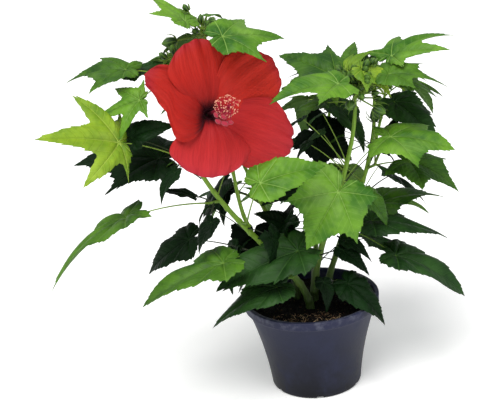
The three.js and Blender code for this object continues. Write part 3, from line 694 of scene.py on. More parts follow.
SCARLET = petal_finish("scarlet petal", (170, 26, 16), (174, 32, 22), (116, 10, 16))
CRIMSON = petal_finish("crimson petal", (172, 28, 26), (180, 40, 46), (136, 14, 28))
BRIGHT = petal_finish("bright scarlet petal", (190, 34, 18), (192, 40, 26), (124, 12, 16))
# The throat cup's near-black red is partly the bloom's dark eye and partly painted shade deep in
# the funnel.
THROAT_DARK = Finish("throat", Roughness=0.7, Specular_IOR_Level=0.15)
THROAT_DARK.feed("Base Color", THROAT_DARK.mix(THROAT_DARK.noise(300, 2), (30, 3, 10),
                                               (56, 6, 18)))


def column_finish():
    """Crimson tissue, with painted shade that darkens it towards the throat."""
    finish = Finish("column", Roughness=0.6, Specular_IOR_Level=0.2)
    grain = finish.noise(400, 2)
    x, y, z = finish.parts(finish.objects())
    ahead = x * AXIS[0] + y * AXIS[1] + z * AXIS[2] - np.dot(THROAT, AXIS) * MM
    colour = finish.mix(grain, (120, 14, 36), (164, 34, 62))
    colour = finish.mix(finish.step(ahead, 0.012, 0.04), (38, 4, 12), colour)
    finish.feed("Base Color", colour)
    finish.bump(grain, 0.3, 0.0004)
    return finish


def anther_finish():
    """Anthers: crimson threads with pale pollen heads."""
    finish = Finish("anthers", Roughness=0.75, Specular_IOR_Level=0.2)
    head = finish.mark("tip")
    grain = finish.noise(1500, 2)
    pollen = finish.mix(grain, (212, 132, 110), (238, 184, 156))
    finish.feed("Base Color", finish.mix(head, (190, 34, 62), pollen))
    finish.bump(grain, 0.5, 0.0003)
    return finish


def pad_finish():
    """Velvety crimson pads."""
    finish = Finish("stigma pads", Roughness=0.62, Specular_IOR_Level=0.3, Sheen_Weight=0.3)
    grain = finish.noise(1400, 2)
    finish.feed("Base Color", finish.mix(grain, (138, 8, 34), (178, 30, 60)))
    finish.bump(grain, 0.6, 0.0004)
    return finish


def pot_finish():
    """Moulded plastic: blue-grey and clouded with dust; painted shade darkens it towards the foot
    and painted light brightens it towards the rim, where dust and painted highlights speck it.
    """
    finish = Finish("pot plastic", Specular_IOR_Level=0.2)
    where = finish.objects()
    height = finish.parts(where)[2]
    clouds = finish.noise(16, 5, where, 0.62)
    fine = finish.noise(260, 3, where)
    drawn = finish.drawn(where, 0.25)
    wiped = finish.noise(48, 4, drawn, 0.7)
    # Painted shade and light: darker towards the foot, lighter towards the rim.
    body = finish.ramp(height / (POT_HEIGHT * MM), [
        (0.0, (2, 3, 10)), (0.3, (10, 13, 30)), (0.8, (24, 28, 51)), (1.0, (34, 37, 62))])
    dust = finish.step(clouds, 0.42, 0.75) * 0.5 + finish.step(wiped, 0.55, 0.8) * 0.3
    body = finish.mix(dust, body, (42, 46, 71))
    # Pale specks along the rim: partly dust and partly painted highlight.
    rim_specks = finish.noise(75, 5, where, 0.7)
    rim_dust_and_highlight = finish.step(height, 0.137, 0.15) * finish.step(rim_specks, 0.45, 0.7) * 0.6
    body = finish.mix(rim_dust_and_highlight, body, (88, 90, 104))
    body = finish.mix(finish.step(fine, 0.62, 0.8) * 0.25, body, (14, 15, 22))
    finish.feed("Base Color", body)
    finish.feed("Roughness", 0.4 + dust * 0.35 + fine * 0.1)
    finish.bump(fine + wiped * 1.5, 0.22, 0.0006)
    return finish


def compost_finish():
    """Damp compost: near black, with rust-brown fibre in it."""
    finish = Finish("compost", Roughness=0.95, Specular_IOR_Level=0.15)
    lumps = finish.noise(140, 5, rough=0.7)
    flecks = finish.step(finish.noise(600, 2), 0.6, 0.75)
    colour = finish.mix(finish.step(lumps, 0.35, 0.7), (5, 5, 6), (22, 18, 16))
    finish.feed("Base Color", finish.mix(flecks * 0.4, colour, (60, 46, 36)))
    finish.bump(lumps + flecks * 0.3, 0.9, 0.003)
    return finish


def crumb_finish(name, dark, light):
    """Dry litter between two tones."""
    finish = Finish(name, Roughness=0.92, Specular_IOR_Level=0.15)
    grain = finish.noise(210, 3)
    finish.feed("Base Color", finish.mix(finish.step(grain, 0.35, 0.65), dark, light))
    finish.bump(grain, 0.5, 0.001)
    return finish


# Limbs

ROUTES = {}


def limb_radius(name, share):
    flare = 0 if "on" in LIMBS[name] else FOOT_FLARE * math.exp(-share * FLARE_FALL)
    return between(LIMBS[name]["radii"], share ** TAPER) + flare


def foot_on(on, at, along, radius):
    """The point from which a stem of the given radius leaves a limb, just clear of its side."""
    slant = abs(np.dot(along, bezier_way(ROUTES[on], at)))
    room = limb_radius(on, at) + GAP + radius * slant
    return bezier(ROUTES[on], at)[0] + along * room / math.sqrt(1 - slant * slant)


def lay_routes():
    for name, limb in LIMBS.items():
        points = [np.array([x, y, *(z or (SOIL_TOP + GAP,))], float) for x, y, *z in limb["route"]]
        if "on" in limb:
            lead = unit(points[0] - bezier(ROUTES[limb["on"]], limb["at"])[0])
            points.insert(0, foot_on(limb["on"], limb["at"], lead, limb["radii"][0]))
        ROUTES[name] = points


CANE_SIDES = 18
NODE_SPACING = 34
CANE_ROW = 2.6
CANE_SINK = 5
BARE_END = 6
FIRST_NODE = 14
LEAF_SCAR = 0.9


def grow_limb(bundle, name):
    """A cane with a swelling, a collar and a leaf scar at each node, faint ridges along it and
    its foot sunk in what carries it."""
    share = np.linspace(0, 1, 400)
    lengths = distances(bezier(ROUTES[name], share))
    run = np.linspace(0, lengths[-1], int(lengths[-1] / CANE_ROW))
    even = np.interp(run, lengths, share)
    line = bezier(ROUTES[name], even)
    radii = np.array([limb_radius(name, at) for at in even])[:, None]
    draw = random(sum(map(ord, name)))
    turns = round_turns(CANE_SIDES)
    ridges = 1 + 0.018 * np.cos(5 * turns + 1.3) + 0.012 * np.cos(8 * turns)
    grid = radii * ridges
    place, number = draw() * NODE_SPACING * 0.5 + FIRST_NODE, 0
    while place < lengths[-1] - BARE_END:
        past = (run - place)[:, None]
        grid += radii * (0.10 * hump(past, 0, 3.4) + 0.05 * hump(past, 2.6, 1.0))
        facing = np.cos(turns - math.radians(number * GOLDEN_TURN)) > 0.55
        grid += LEAF_SCAR * hump(past, -1.5, 2.2) * facing * (radii / 5)
        place += NODE_SPACING * (0.8 + 0.4 * draw())
        number += 1
    if "on" in LIMBS[name]:
        lead = unit(line[1] - line[0])
        line = np.concatenate([[line[0] - lead * CANE_SINK], line])
        grid = np.concatenate([grid[:1] * 1.06, grid])
    else:
        line[0, 2] -= CANE_SINK
    bundle.add(*tube(line, grid, CANE_SIDES))


# Leaves


def reach(kind, turn):
    """How far the outline lies from the joint, for an array of turns from the midrib."""
    shape = LEAF_KINDS[kind]
    turn = np.abs(turn)
    total = (shape["body"] * (1 - (1 - BASE_EAR) * (turn / 180) ** BASE_FALL)) ** LOBE_BLEND
    for at, length, spread in shape["lobes"]:
        fall = np.exp(-((np.abs(turn - at) / spread) ** LOBE_FALL))
        total = total + (length * fall) ** LOBE_BLEND
    length = total ** (1 / LOBE_BLEND)
    notch = smooth((turn - 166) / 13)
    return length * (1 - notch) + BASE_NOTCH * notch


TOOTH_PITCH = 0.088
TOOTH_DEPTH = 0.034
SHOULDER_PITCH = 0.27
SHOULDER_DEPTH = 0.034
CORNERS_PER_TOOTH = 4
OUTLINES = {}


def saw(distance, pitch, draw):
    """Uneven forward-pointing teeth along half an outline, each from 0 up to about 1."""
    edges, depths = [-pitch * draw()], []
    while edges[-1] < distance.max() + pitch:
        edges.append(edges[-1] + pitch * (0.6 + 0.8 * draw()))
        depths.append(0.55 + 0.75 * draw())
    edges, depths = np.array(edges), np.array(depths)
    tooth = np.clip(np.searchsorted(edges, distance, side="right") - 1, 0, len(depths) - 1)
    climb = (distance - edges[tooth]) / (edges[tooth + 1] - edges[tooth])
    return depths[tooth] * climb ** 1.3


def outline(kind):
    """Turns of half an outline, evenly spaced along it, with each rib on a corner of its own."""
    if kind in OUTLINES:
        return OUTLINES[kind]
    ribs = LEAF_KINDS[kind]["ribs"]
    borders = [(one + two) / 2 for one, two in zip(ribs, ribs[1:])]
    keys = sorted({0.0, 180.0, *map(float, ribs), *borders})
    turns, runs, sectors = [0.0], [0.0], []
    for low, high in zip(keys, keys[1:]):
        fine = np.linspace(low, high, 160)
        length = reach(kind, fine)
        steps = distances(np.stack([length * np.cos(np.radians(fine)),
                                    length * np.sin(np.radians(fine))], 1))
        count = max(3, round(steps[-1] / TOOTH_PITCH * CORNERS_PER_TOOTH))
        even = np.linspace(0, steps[-1], count + 1)[1:]
        turns.extend(np.interp(even, steps, fine))
        runs.extend(runs[-1] + even)
        nearest = min(ribs, key=lambda rib: abs(rib - (low + high) / 2))
        sectors.extend([nearest] * count)
    OUTLINES[kind] = (np.array(turns), np.array(runs), sectors)
    return OUTLINES[kind]


RINGS = np.array([0.0, 0.07, 0.17, 0.29, 0.42, 0.55, 0.68, 0.8, 0.9, 0.96, 1.0])
SHEET = 0.55
SMALL_LEAF = 62
DOME = 0.036
TWIST = 22
TIP_FADE = 0.09
BASE_FADE = 0.25
# Waves round a blade and their heights.
RIPPLES = [(3, 0.046), (5, 0.042), (9, 0.026)]


def blade_points(joint, blade, u, v, lift, twist):
    """The bent blade: u runs along the midrib and v across it, as shares of its length."""
    heading, droop, roll, size = blade
    along = way(heading, -droop)
    level = way(heading + 90, 0)
    above = np.cross(along, level)
    across = turned(level, along, roll)
    normal = turned(above, along, roll)
    bend = LEAF_BEND * np.where(u > 0, u, BASE_BEND * u)
    forward = u * (1 - bend * bend / 6)
    height = -0.5 * u * bend + LEAF_FOLD * np.abs(v) - LEAF_SAG * v * v + lift
    side = v * LEAF_BREADTH
    turn = np.radians(twist) * u
    side, height = side * np.cos(turn) - height * np.sin(turn), \
        side * np.sin(turn) + height * np.cos(turn)
    return (joint + along * (forward * size)[..., None] + across * (side * size)[..., None]
            + normal * (height * size)[..., None])


def leaf_edge(kind, small, draw):
    """Stations round a blade: their turns from the midrib, tooth heights and nearest ribs."""
    half, runs, sectors = outline(kind)
    if small:
        picks = np.unique(np.append(np.arange(0, len(half), 2), len(half) - 1))
        half, runs = half[picks], runs[picks]
        sectors = [sectors[pick] for pick in picks[:-1]]
    turns = np.concatenate([-half[::-1], half[1:-1]])
    run = np.concatenate([runs[::-1], runs[1:-1]])
    base_run = runs[-1] - run
    left = np.arange(len(turns)) < len(half)
    fine, coarse = [
        np.where(left, saw(base_run, pitch, draw), saw(base_run, pitch, draw))
        for pitch in (TOOTH_PITCH, SHOULDER_PITCH)]
    fade = smooth(run / TIP_FADE) * smooth(base_run / BASE_FADE)
    tooth = (TOOTH_DEPTH * (fine - 0.35) + SHOULDER_DEPTH * (coarse - 0.45)) * fade
    return turns, tooth, [-rib for rib in reversed(sectors)] + sectors


def leaf_relief(ribs, turns, draw):
    """Round a blade: how it domes between its ribs, ripples, and lifts or drops at each rib."""
    nearest = np.min(np.abs(np.abs(turns)[None] - np.array(ribs)[:, None]), axis=0)
    dome = np.sin(np.pi / 2 * np.clip(nearest / 20, 0, 1)) ** 0.7
    phases = [draw() * 2 * math.pi for _ in RIPPLES]
    ripple = sum(amount * np.sin(waves * np.radians(turns) + phase)
                 for (waves, amount), phase in zip(RIPPLES, phases))
    sway = sum((draw() * 0.17 - 0.11) * hump(turns, rib, 24)
               for rib in (*(-rib for rib in ribs[1:]), *ribs[1:]))
    return dome, ripple, sway


def leaf_faces(rows, sector, flat):
    """Faces of both sheets and of the edge between them, with their places along the ribs."""
    count = len(sector)
    below = rows * count
    hub = 2 * below
    faces, places = [], []

    def face(rib, *corners):
        faces.append(corners)
        turn = math.radians(rib)
        u, v = flat[list(corners)].T
        places.append(np.stack([u * math.cos(turn) + v * math.sin(turn),
                                v * math.cos(turn) - u * math.sin(turn)], 1))

    for station, rib in enumerate(sector):
        after = (station + 1) % count
        face(rib, hub, station, after)
        face(rib, hub + 1, below + after, below + station)
        for a in range(station, (rows - 1) * count, count):
            b = a - station + after
            c, d = a + count, b + count
            face(rib, a, c, d, b)
            face(rib, below + a, below + b, below + d, below + c)
        a, b = (rows - 1) * count + station, (rows - 1) * count + after
        face(rib, a, below + a, below + b, b)
    return faces, np.concatenate(places)


def leaf_blade(bundle, tint, kind, joint, blade, draw):
    """One leaf: toothed outline, ribs sunk in the tissue, waves along the margin."""
    size = blade[3]
    small = size < SMALL_LEAF
    turns, tooth, sector = leaf_edge(kind, small, draw)
    dome, ripple, sway = leaf_relief(LEAF_KINDS[kind]["ribs"], turns, draw)
    angles, smooth_reach = np.radians(turns), reach(kind, turns)
    u, v, lift = [], [], []
    for at in RINGS[2::2] if small else RINGS[1:]:
        length = smooth_reach * at + tooth * at ** 14
        u.append(length * np.cos(angles))
        v.append(length * np.sin(angles))
        lift.append(DOME * dome * math.sin(math.pi * min(1, at * 0.96 + 0.02)) ** 0.6
                    * min(1, at * 4) + (ripple * at ** 2.4 + sway * at ** 2) * smooth_reach)
    u, v, lift = np.array(u), np.array(v), np.array(lift)
    twist = (draw() - 0.5) * TWIST
    sheet = SHEET / size * np.linspace(1, 0.45, len(u))[:, None]
    zero = np.zeros(1)
    top, bottom = [blade_points(joint, blade, u, v, lift + face * sheet / 2, twist).reshape(-1, 3)
                   for face in (1, -1)]
    hubs = [blade_points(joint, blade, zero, zero, zero + face * SHEET / size / 2, twist)
            for face in (1, -1)]
    flat = np.concatenate([np.stack([u, v], -1).reshape(-1, 2)] * 2 + [np.zeros((2, 2))])
    faces, places = leaf_faces(len(u), sector, flat)
    under = np.concatenate([np.repeat([0, 1], u.size), [0, 1]])
    bundle.add(np.concatenate([top, bottom, *hubs]), faces, TINTS[tint], places,
               tone=draw(), under=under)


STALK_SIDES = 7
STALK_ROWS = 14


def leaf_stalk(bundle, finish, start, joint, blade, radii=STALK_RADII):
    """A stalk that arches from its shoot to the blade, thicker at both ends."""
    middle = (start + joint) / 2
    middle[2] += np.linalg.norm(joint - start) * STALK_ARCH
    share = np.linspace(0, 1, STALK_ROWS)
    line = bezier([start, middle, joint], share)
    zero = np.zeros(1)
    line = np.concatenate([line, blade_points(joint, blade, zero + 0.03, zero, zero, 0)])
    share = np.append(share, 1.05)
    thick = between(radii, share) * 0.86
    thick *= 1 + 0.5 * hump(share, 0, 0.05) + 0.28 * hump(share, 1, 0.05)
    thick[-1] = 0.35
    bundle.add(*tube(line, thick, STALK_SIDES), finish)


BUD_SIDES = 20
BUD_ROWS = np.array([0.02, 0.06, 0.12, 0.2, 0.3, 0.42, 0.54, 0.66, 0.77, 0.86, 0.93, 0.98])
# The calyx of a bud: share of its length and radius as a share of its width.
BUD_SHAPE = [(0, 0.16), (0.05, 0.30), (0.15, 0.42), (0.3, 0.49), (0.45, 0.5), (0.6, 0.46),
             (0.75, 0.35), (0.88, 0.17), (1, 0.02)]
BRACTLETS = 9


def grow_bud(stalk_bundle, bud_bundle, start, stalk, width, draw):
    """A bud on its stalk: a ribbed, pointed calyx in a ring of curved bractlets."""
    bearing, rise, length = stalk
    along = way(bearing, rise)
    base = start + along * length
    tall = width * BUD_LENGTH_TO_WIDTH
    share = np.linspace(0, 1, 8)
    line = start + (base + along * tall * 0.06 - start) * share[:, None]
    thick = between((1.5, 1.15), share) * (1 + 0.35 * hump(share, 1, 0.12))
    stalk_bundle.add(*tube(line, thick, STALK_SIDES), STALKS)
    profile = np.interp(BUD_ROWS, *zip(*BUD_SHAPE)) * width
    ribbed = profile[:, None] * (1 + 0.055 * np.cos(5 * round_turns(BUD_SIDES)))
    corners, faces = tube(base + along * (BUD_ROWS * tall)[:, None], ribbed, BUD_SIDES)
    around = np.append(np.tile(np.arange(BUD_SIDES) / BUD_SIDES, len(BUD_ROWS)), [0, 0])
    height = np.append(np.repeat(BUD_ROWS, BUD_SIDES), [0, 1])
    places = []
    for face in faces:
        spot = around[list(face)]
        spot = np.where(spot.max() - spot > 0.5, spot + 1, spot)
        places.append(np.stack([height[list(face)], spot], 1))
    bud_bundle.add(corners, faces, BUD, np.concatenate(places))
    across = unit(np.cross(along, X if abs(along[0]) < 0.8 else Y))
    share = np.linspace(0, 1, 6)
    for number in range(BRACTLETS):
        out = turned(across, along, 360 * number / BRACTLETS + draw() * 14)
        long = tall * (0.55 + 0.3 * draw())
        flare = width * (0.62 + 0.3 * draw())
        line = base + out * (width * 0.16 + flare * np.sin(share * 1.9))[:, None] \
            + along * (long * share ** 1.6 - 0.6)[:, None]
        bud_bundle.add(*tube(line, np.array([0.75, 0.8, 0.72, 0.58, 0.4, 0.14]), 4), BRACTLET)


# Shoots and their leaves


def shoot_of(mass):
    if mass["at"] == 1:
        along = bezier_way(ROUTES[mass["on"]], 1)
        return bezier(ROUTES[mass["on"]], 1)[0] + along * GAP, along, mass["length"]
    along = way(mass["bearing"], mass["rise"])
    return foot_on(mass["on"], mass["at"], along, SHOOT_RADII[0]), along, mass["length"]


def shoot_point(shoot, share):
    foot, along, length = shoot
    return foot + along * length * share


def spread_leaves(mass, draw):
    spread = mass.get("spread", {})
    leaves = []
    for index in range(spread.get("count", 0)):
        share = (index + 0.6) / spread["count"]
        bearing = index * GOLDEN_TURN + between((-18, 18), draw())
        if "bearing" in spread:
            bearing = spread["bearing"] + (math.fmod(bearing, 360) / 360 - 0.5) * FAN
        lifted = share if mass["at"] == 1 else draw() * 0.6
        rise = between(SPREAD_RISE, lifted) + between((-8, 8), draw())
        stalk = (bearing, rise, between(SPREAD_STALK, draw()))
        heading = bearing + between((-25, 25), draw())
        droop, roll = between(SPREAD_DROOP, draw()), between((-18, 18), draw())
        size = between(SPREAD_BLADE, draw() * (1.1 - 0.5 * share if mass["at"] == 1 else 1))
        kind = SPREAD_KINDS[int(draw() * len(SPREAD_KINDS))]
        tint = SPREAD_TINTS[(index + len(mass["name"])) % len(SPREAD_TINTS)]
        leaves.append(leaf(kind, share, stalk, (heading, droop, roll, size), tint))
    return leaves


def spread_buds(mass, draw):
    buds = []
    for index in range(mass.get("spread", {}).get("buds", 0)):
        bearing = index * GOLDEN_TURN + between((0, 60), draw())
        stalk = (bearing, between((45, 75), draw()), between((18, 32), draw()))
        buds.append(bud(0.96 - index * 0.14, stalk, between((10, 14), draw())))
    return buds


def ends_of(item, start):
    """Where the solid's stalk ends, and where the leaf or bud on it does."""
    bearing, rise, length = item["stalk"]
    joint = start + way(bearing, rise) * length
    if "blade" not in item:
        return joint, joint + way(bearing, rise) * item["width"] * BUD_LENGTH_TO_WIDTH
    zero = np.zeros(1)
    return joint, blade_points(joint, item["blade"], zero + 1, zero, zero, 0)[0]


TIP_ROOM = 2.2
# Young leaves and small buds at the tips, and the width of the fan that they stand in.
TIP_GROWTH = {"leaves_middle_top": (7, 34, 150), "leaves_summit": (4, 5, 150),
              "leaves_right_top": (5, 7, 200), "leaves_back_top": (5, 3, 360),
              "leaves_top_left": (5, 2, 360), "others": (5, 1, 360)}
YOUNG_STALK = (0.9, 0.6)
AXIL_STALK = (1.1, 0.7)
FINE_SEED = 900
AXIL_SEED = 4711


def dress_mass(mass, order, leaves, stalks, buds):
    """Every leaf and bud that the solid carries, and small young leaves at a leading tip."""
    shoot = shoot_of(mass)
    foot, along, length = shoot
    solid = places_of(bpy.data.objects[mass["name"]].data)
    draw = random(SEED + order)
    items = mass["leaves"] + mass["buds"] + spread_leaves(mass, draw) + spread_buds(mass, draw)
    fine = random(FINE_SEED + order)
    for item in items:
        start = shoot_point(shoot, item["at"])
        joint, tip = ends_of(item, start)
        if np.min(np.linalg.norm(solid - tip, axis=1)) > TIP_ROOM:
            continue
        if "blade" in item:
            # Stalks of leaves in painted shade get the shade-darkened stalk finish.
            finish = STALKS_IN_SHADE if item["tint"] in ("deep", "shade") else STALKS
            leaf_stalk(stalks, finish, start, joint, item["blade"])
            leaf_blade(leaves, item["tint"], item["kind"], joint, item["blade"], fine)
        else:
            grow_bud(stalks, buds, start, item["stalk"], item["width"], fine)
    leading = mass["at"] == 1
    share = np.linspace(-0.12 if leading else -0.35, 1, 10)
    thick = between(SHOOT_RADII, np.clip(share, 0, 1)) * (1 + 0.12 * np.cos(share * 19))
    stalks.add(*tube(foot + along * (share * length)[:, None], thick, 12), SHOOT)
    if not leading:
        return
    young, small_buds, fan = TIP_GROWTH.get(mass["name"], TIP_GROWTH["others"])
    grow_young(shoot, young, fan, fine, leaves, stalks)
    for number in range(small_buds):
        bearing = round_fan(fan, number) - 58
        rise = between((2, 60), fine())
        start = shoot_point(shoot, between((0.3, 1), fine()))
        grow_bud(stalks, buds, start, (bearing, rise, between((22, 52), fine())),
                 between((8, 12), fine()), fine)


def round_fan(fan, number):
    """The bearing of what stands at one number of a fan, a golden turn from the one before."""
    return fan * ((number * GOLDEN_TURN / 360) % 1 - 0.5)


def grow_young(shoot, count, fan, fine, leaves, stalks):
    """Small pale leaves round the end of a shoot, or behind its buds where these fill a side."""
    for number in range(count):
        bearing = round_fan(fan, number) + 100
        rise = 20 + 45 * fine()
        start = shoot_point(shoot, 0.6 + 0.4 * number / count)
        joint = start + way(bearing, rise) * between((12, 30), fine())
        size = between((18, 42), fine() ** 1.4)
        blade = (bearing + 30 * (fine() - 0.5), between((-20, 25), fine()), 0, size)
        leaf_stalk(stalks, STALKS, start, joint, blade, YOUNG_STALK)
        tint = "lime" if fine() < 0.35 else "fresh"
        leaf_blade(leaves, tint, "maple" if size > 34 else "heart", joint, blade, fine)


# Stalks that leave a cane by themselves: limb, place on it, bearing, rise and length of the
# stalk, then the droop and size of the leaf at its end, and its tint.
AXIL_LEAVES = [
    ("middle_cane", 0.73, 180, 52, 100, 20, 44, "deep"),
    ("middle_cane", 0.74, 168, 68, 82, 20, 36, "dusk"),
    ("middle_cane", 0.64, 12, 42, 84, 30, 34, "deep"),
    ("right_cane", 0.55, 25, 50, 60, 25, 30, "dusk"),
    ("middle_cane", 0.70, -172, 44, 74, 30, 40, "deep"),
    ("middle_cane", 0.71, 168, 62, 66, 20, 34, "dusk"),
    ("middle_cane", 0.62, 24, 34, 84, 30, 42, "deep"),
    ("middle_cane", 0.80, 12, 8, 60, 40, 32, "dusk"),
    ("right_cane", 0.66, 172, 40, 70, 30, 30, "deep"),
    ("right_cane", 0.58, -170, 20, 64, 35, 34, "dusk"),
    ("right_cane", 0.80, -175, 30, 52, 20, 26, "green"),
    ("right_cane", 0.74, 20, 38, 56, 25, 34, "deep"),
    ("back_cane", 0.80, -160, 25, 60, 30, 40, "deep"),
    ("back_right_cane", 0.82, 175, 30, 62, 30, 38, "deep"),
    ("left_cane", 0.62, 30, 60, 60, 30, 36, "dusk"),
    ("left_cane", 0.68, 178, 34, 52, 25, 30, "green"),
    ("left_cane", 0.44, 178, 38, 66, 45, 34, "deep"),
    ("inner_bough", 0.25, 12, 40, 62, 30, 36, "dusk"),
    ("left_cane", 0.33, 172, 4, 50, 60, 74, "deep"),
    ("left_cane", 0.48, -35, -12, 46, 62, 62, "deep"),
    ("middle_cane", 0.34, 172, 22, 58, 42, 68, "deep"),
    ("middle_cane", 0.44, -163, 12, 66, 55, 70, "deep"),
    ("middle_cane", 0.50, 150, 10, 60, 40, 66, "shade"),
    ("back_cane", 0.40, -168, 5, 72, 45, 74, "shade"),
    ("back_cane", 0.52, -20, 5, 56, 45, 64, "shade"),
    ("back_left_cane", 0.45, -120, 4, 60, 50, 74, "shade"),
    ("back_left_cane", 0.66, -150, 14, 56, 40, 66, "deep"),
    ("right_cane", 0.27, -165, 16, 52, 50, 56, "deep"),
    ("right_cane", 0.36, 20, -4, 60, 40, 60, "deep"),
    ("middle_cane", 0.22, 30, 24, 50, 45, 54, "deep"),
]


def grow_axils(leaves, stalks):
    """Leaves on stalks straight from the canes, most of them in the shade of the crown, which their
    dark tints paint.
    """
    draw = random(AXIL_SEED)
    for limb, at, bearing, rise, length, droop, size, tint in AXIL_LEAVES:
        along = way(bearing, rise)
        start = foot_on(limb, at, along, YOUNG_STALK[0]) - along
        joint = start + along * length
        blade = (bearing + 40 * (draw() - 0.5), droop, between((-15, 15), draw()), size)
        # Stalks that rise little, low in the crown, get the shade-darkened stalk finish.
        finish = STALKS if rise >= 40 else STALKS_IN_SHADE
        leaf_stalk(stalks, finish, start, joint, blade, AXIL_STALK)
        leaf_blade(leaves, tint, "heart" if size < 60 else "broad", joint, blade, draw)


# Bloom


def bloom_axes():
    azimuth, rise = BLOOM["facing"]
    axis = way(azimuth, rise)
    side = way(azimuth + 90, 0)
    top = np.cross(axis, side)
    return axis, turned(side, axis, BLOOM["twist"]), turned(top, axis, BLOOM["twist"])


AXIS, RIGHT, UP = bloom_axes()
THROAT = np.array(BLOOM["throat"], float)
PETAL_ROWS = 52
PETAL_COLUMNS = 44
PETAL_SHEET = 0.8
PETAL_SEED = 300
LAPPED_PETAL = 4
FRILLED_PETAL = 2
# Folds across a petal: height and how many.
FOLDS = [(0.8, 1.3), (0.45, 2.6), (0.2, 4.7), (0.1, 7.9)]
CUP_SIDES = 24
# The pads at the column's end: their places to the right, up and out, and their radii.
PADS = [(-24, -13, 8, 4.4), (-21, -22, 5, 5.2), (-12, -26, 7, 5.6), (-3, -25, 5, 4.8),
        (-14, -17, 11, 4.3)]
PAD_SIDES = 14
STYLE_RADIUS = 0.75
CALYX_SIDES = 30
CALYX_BRACTLETS = 10

# The left petal's lower edge, as shares of the half breadth: a lobe near the throat laps over
# the bottom petal, and beyond it the edge draws back.
LAPPED_EDGE = [(0, 1.2), (0.02, 1.8), (0.05, 1.9), (0.1, 1.85), (0.18, 1.7), (0.26, 1.53),
               (0.39, 1.27), (0.48, 1.12), (0.54, 0.9), (0.59, 0.55), (0.65, 0.28), (0.8, 0),
               (0.92, -0.24), (1, -0.42)]
FULL_TIP = (16, 11)


def petal_spread(petal, s, w):
    """How far a petal's points lie from the throat, and how far from its own midline."""
    _, length, breadth = petal
    rounding = 1 - PETAL_ROUNDING * np.minimum(np.abs(w), 1) ** 2.6 * s
    out = BLOOM["throat_radius"] + (length - BLOOM["throat_radius"]) * s * rounding
    return out, breadth * np.sin(np.pi * (PETAL_BASE + PETAL_SPAN * s)) ** 0.9 * w


def petal_ways(petal):
    turn = math.radians(petal[0])
    return (RIGHT * math.cos(turn) + UP * math.sin(turn),
            UP * math.cos(turn) - RIGHT * math.sin(turn))


def petal_points(petal, s, w, lift):
    """A petal: s runs from throat to tip, w from one edge to the other."""
    outward, around = petal_ways(petal)
    out, side = petal_spread(petal, s, w)
    held = np.clip(w, -1, 1)
    forward = BLOOM["depth"] * (1 - np.exp(-s / BLOOM["funnel"])) - BLOOM["reflex"] * s * s
    over = BLOOM["overlap"] * held * np.minimum(1, s * 1.6) - PETAL_CUP * s * held * held
    return (THROAT + outward * out[..., None] + around * side[..., None]
            + AXIS * (forward + over + lift)[..., None])


def lap(petal, s, w):
    """The lapped petal's own edge, and how far its lobe is lifted clear of the next petal."""
    low = np.interp(s, *zip(*LAPPED_EDGE))
    edge = -1 + (w + 1) / 2 * (low + 1)
    front = np.clip(w, 0, 1)
    out, side = petal_spread(petal, s, edge)
    share = (np.hypot(out, side) - BLOOM["throat_radius"]) / (petal[1] - BLOOM["throat_radius"])
    share = np.maximum(share, s)
    bowl = BLOOM["depth"] * (np.exp(-s / BLOOM["funnel"]) - np.exp(-share / BLOOM["funnel"]))
    lift = front * bowl + 4 * front ** 2 * hump(s, 0.3, 0.22)
    return edge, lift - 4 * front ** 2 * hump(s, 0.75, 0.16)


def petal_relief(s, w, edge, draw):
    """Folds that fan out from the throat and a ruffle along the margin."""
    phases = [draw() * 2 * math.pi for _ in range(6)]
    folds = sum(amount * np.cos(2 * np.pi * count * w + phase)
                for (amount, count), phase in zip(FOLDS, phases))
    folds = folds * np.sin(np.pi * np.clip(s * 0.9 + 0.05, 0, 1)) ** 0.6 * 1.2
    margin = np.clip(s ** 5 + np.abs(w) ** 6 * s, 0, 1)
    ruffle = 2.8 * np.sin(2 * np.pi * 2.3 * edge + phases[4]) + 1.2 * np.sin(9 * s + phases[5]) \
        + 0.9 * np.sin(2 * np.pi * 5.7 * edge + phases[3])
    return folds + ruffle * margin


def grow_petal(bundle, finish, petal, draw, lapped, frill):
    """One petal of two sheets closed along its border. The lapped one also has a fuller tip."""
    s, w = np.meshgrid(np.linspace(0, 1, PETAL_ROWS), np.linspace(-1, 1, PETAL_COLUMNS),
                       indexing="ij")
    edge, lift, swell = w, 0, 0
    if lapped:
        edge, lift = lap(petal, s, w)
        outward, around = petal_ways(petal)
        out = FULL_TIP[0] * s ** 3 * hump(edge, -0.8, 0.42)
        up = FULL_TIP[1] * s ** 2 * np.clip(-edge, 0, 1) ** 2
        swell = outward * out[..., None] - around * up[..., None]
    relief = petal_relief(s, w, edge, draw) + lift
    phase = draw() * 6
    notches = 1 + 0.014 * np.sin(4.3 * w + phase) * s ** 4 \
        + frill * (np.sin(11 * w + phase) + 0.7 * np.sin(19 * w)) * s ** 8
    sheets = [petal_points(petal, s * notches, edge, relief + side * PETAL_SHEET / 2) + swell
              for side in (1, -1)]
    total, wide = PETAL_ROWS * PETAL_COLUMNS, PETAL_COLUMNS
    faces = []
    for row in range(PETAL_ROWS - 1):
        for a in range(row * wide, (row + 1) * wide - 1):
            c = a + wide
            faces += [(a, c, c + 1, a + 1), (total + a, total + a + 1, total + c + 1, total + c)]
    border = [*range(0, total - wide, wide), *range(total - wide, total - 1),
              *range(total - 1, wide - 1, -wide), *range(wide - 1, 0, -1)]
    for a, b in zip(border, border[1:] + border[:1]):
        faces.append((a, total + a, total + b, b))
    flat = np.concatenate([np.stack([s, w], -1).reshape(-1, 2)] * 2)
    bundle.add(np.concatenate([sheet.reshape(-1, 3) for sheet in sheets]), faces, finish,
               np.concatenate([flat[list(face)] for face in faces]))


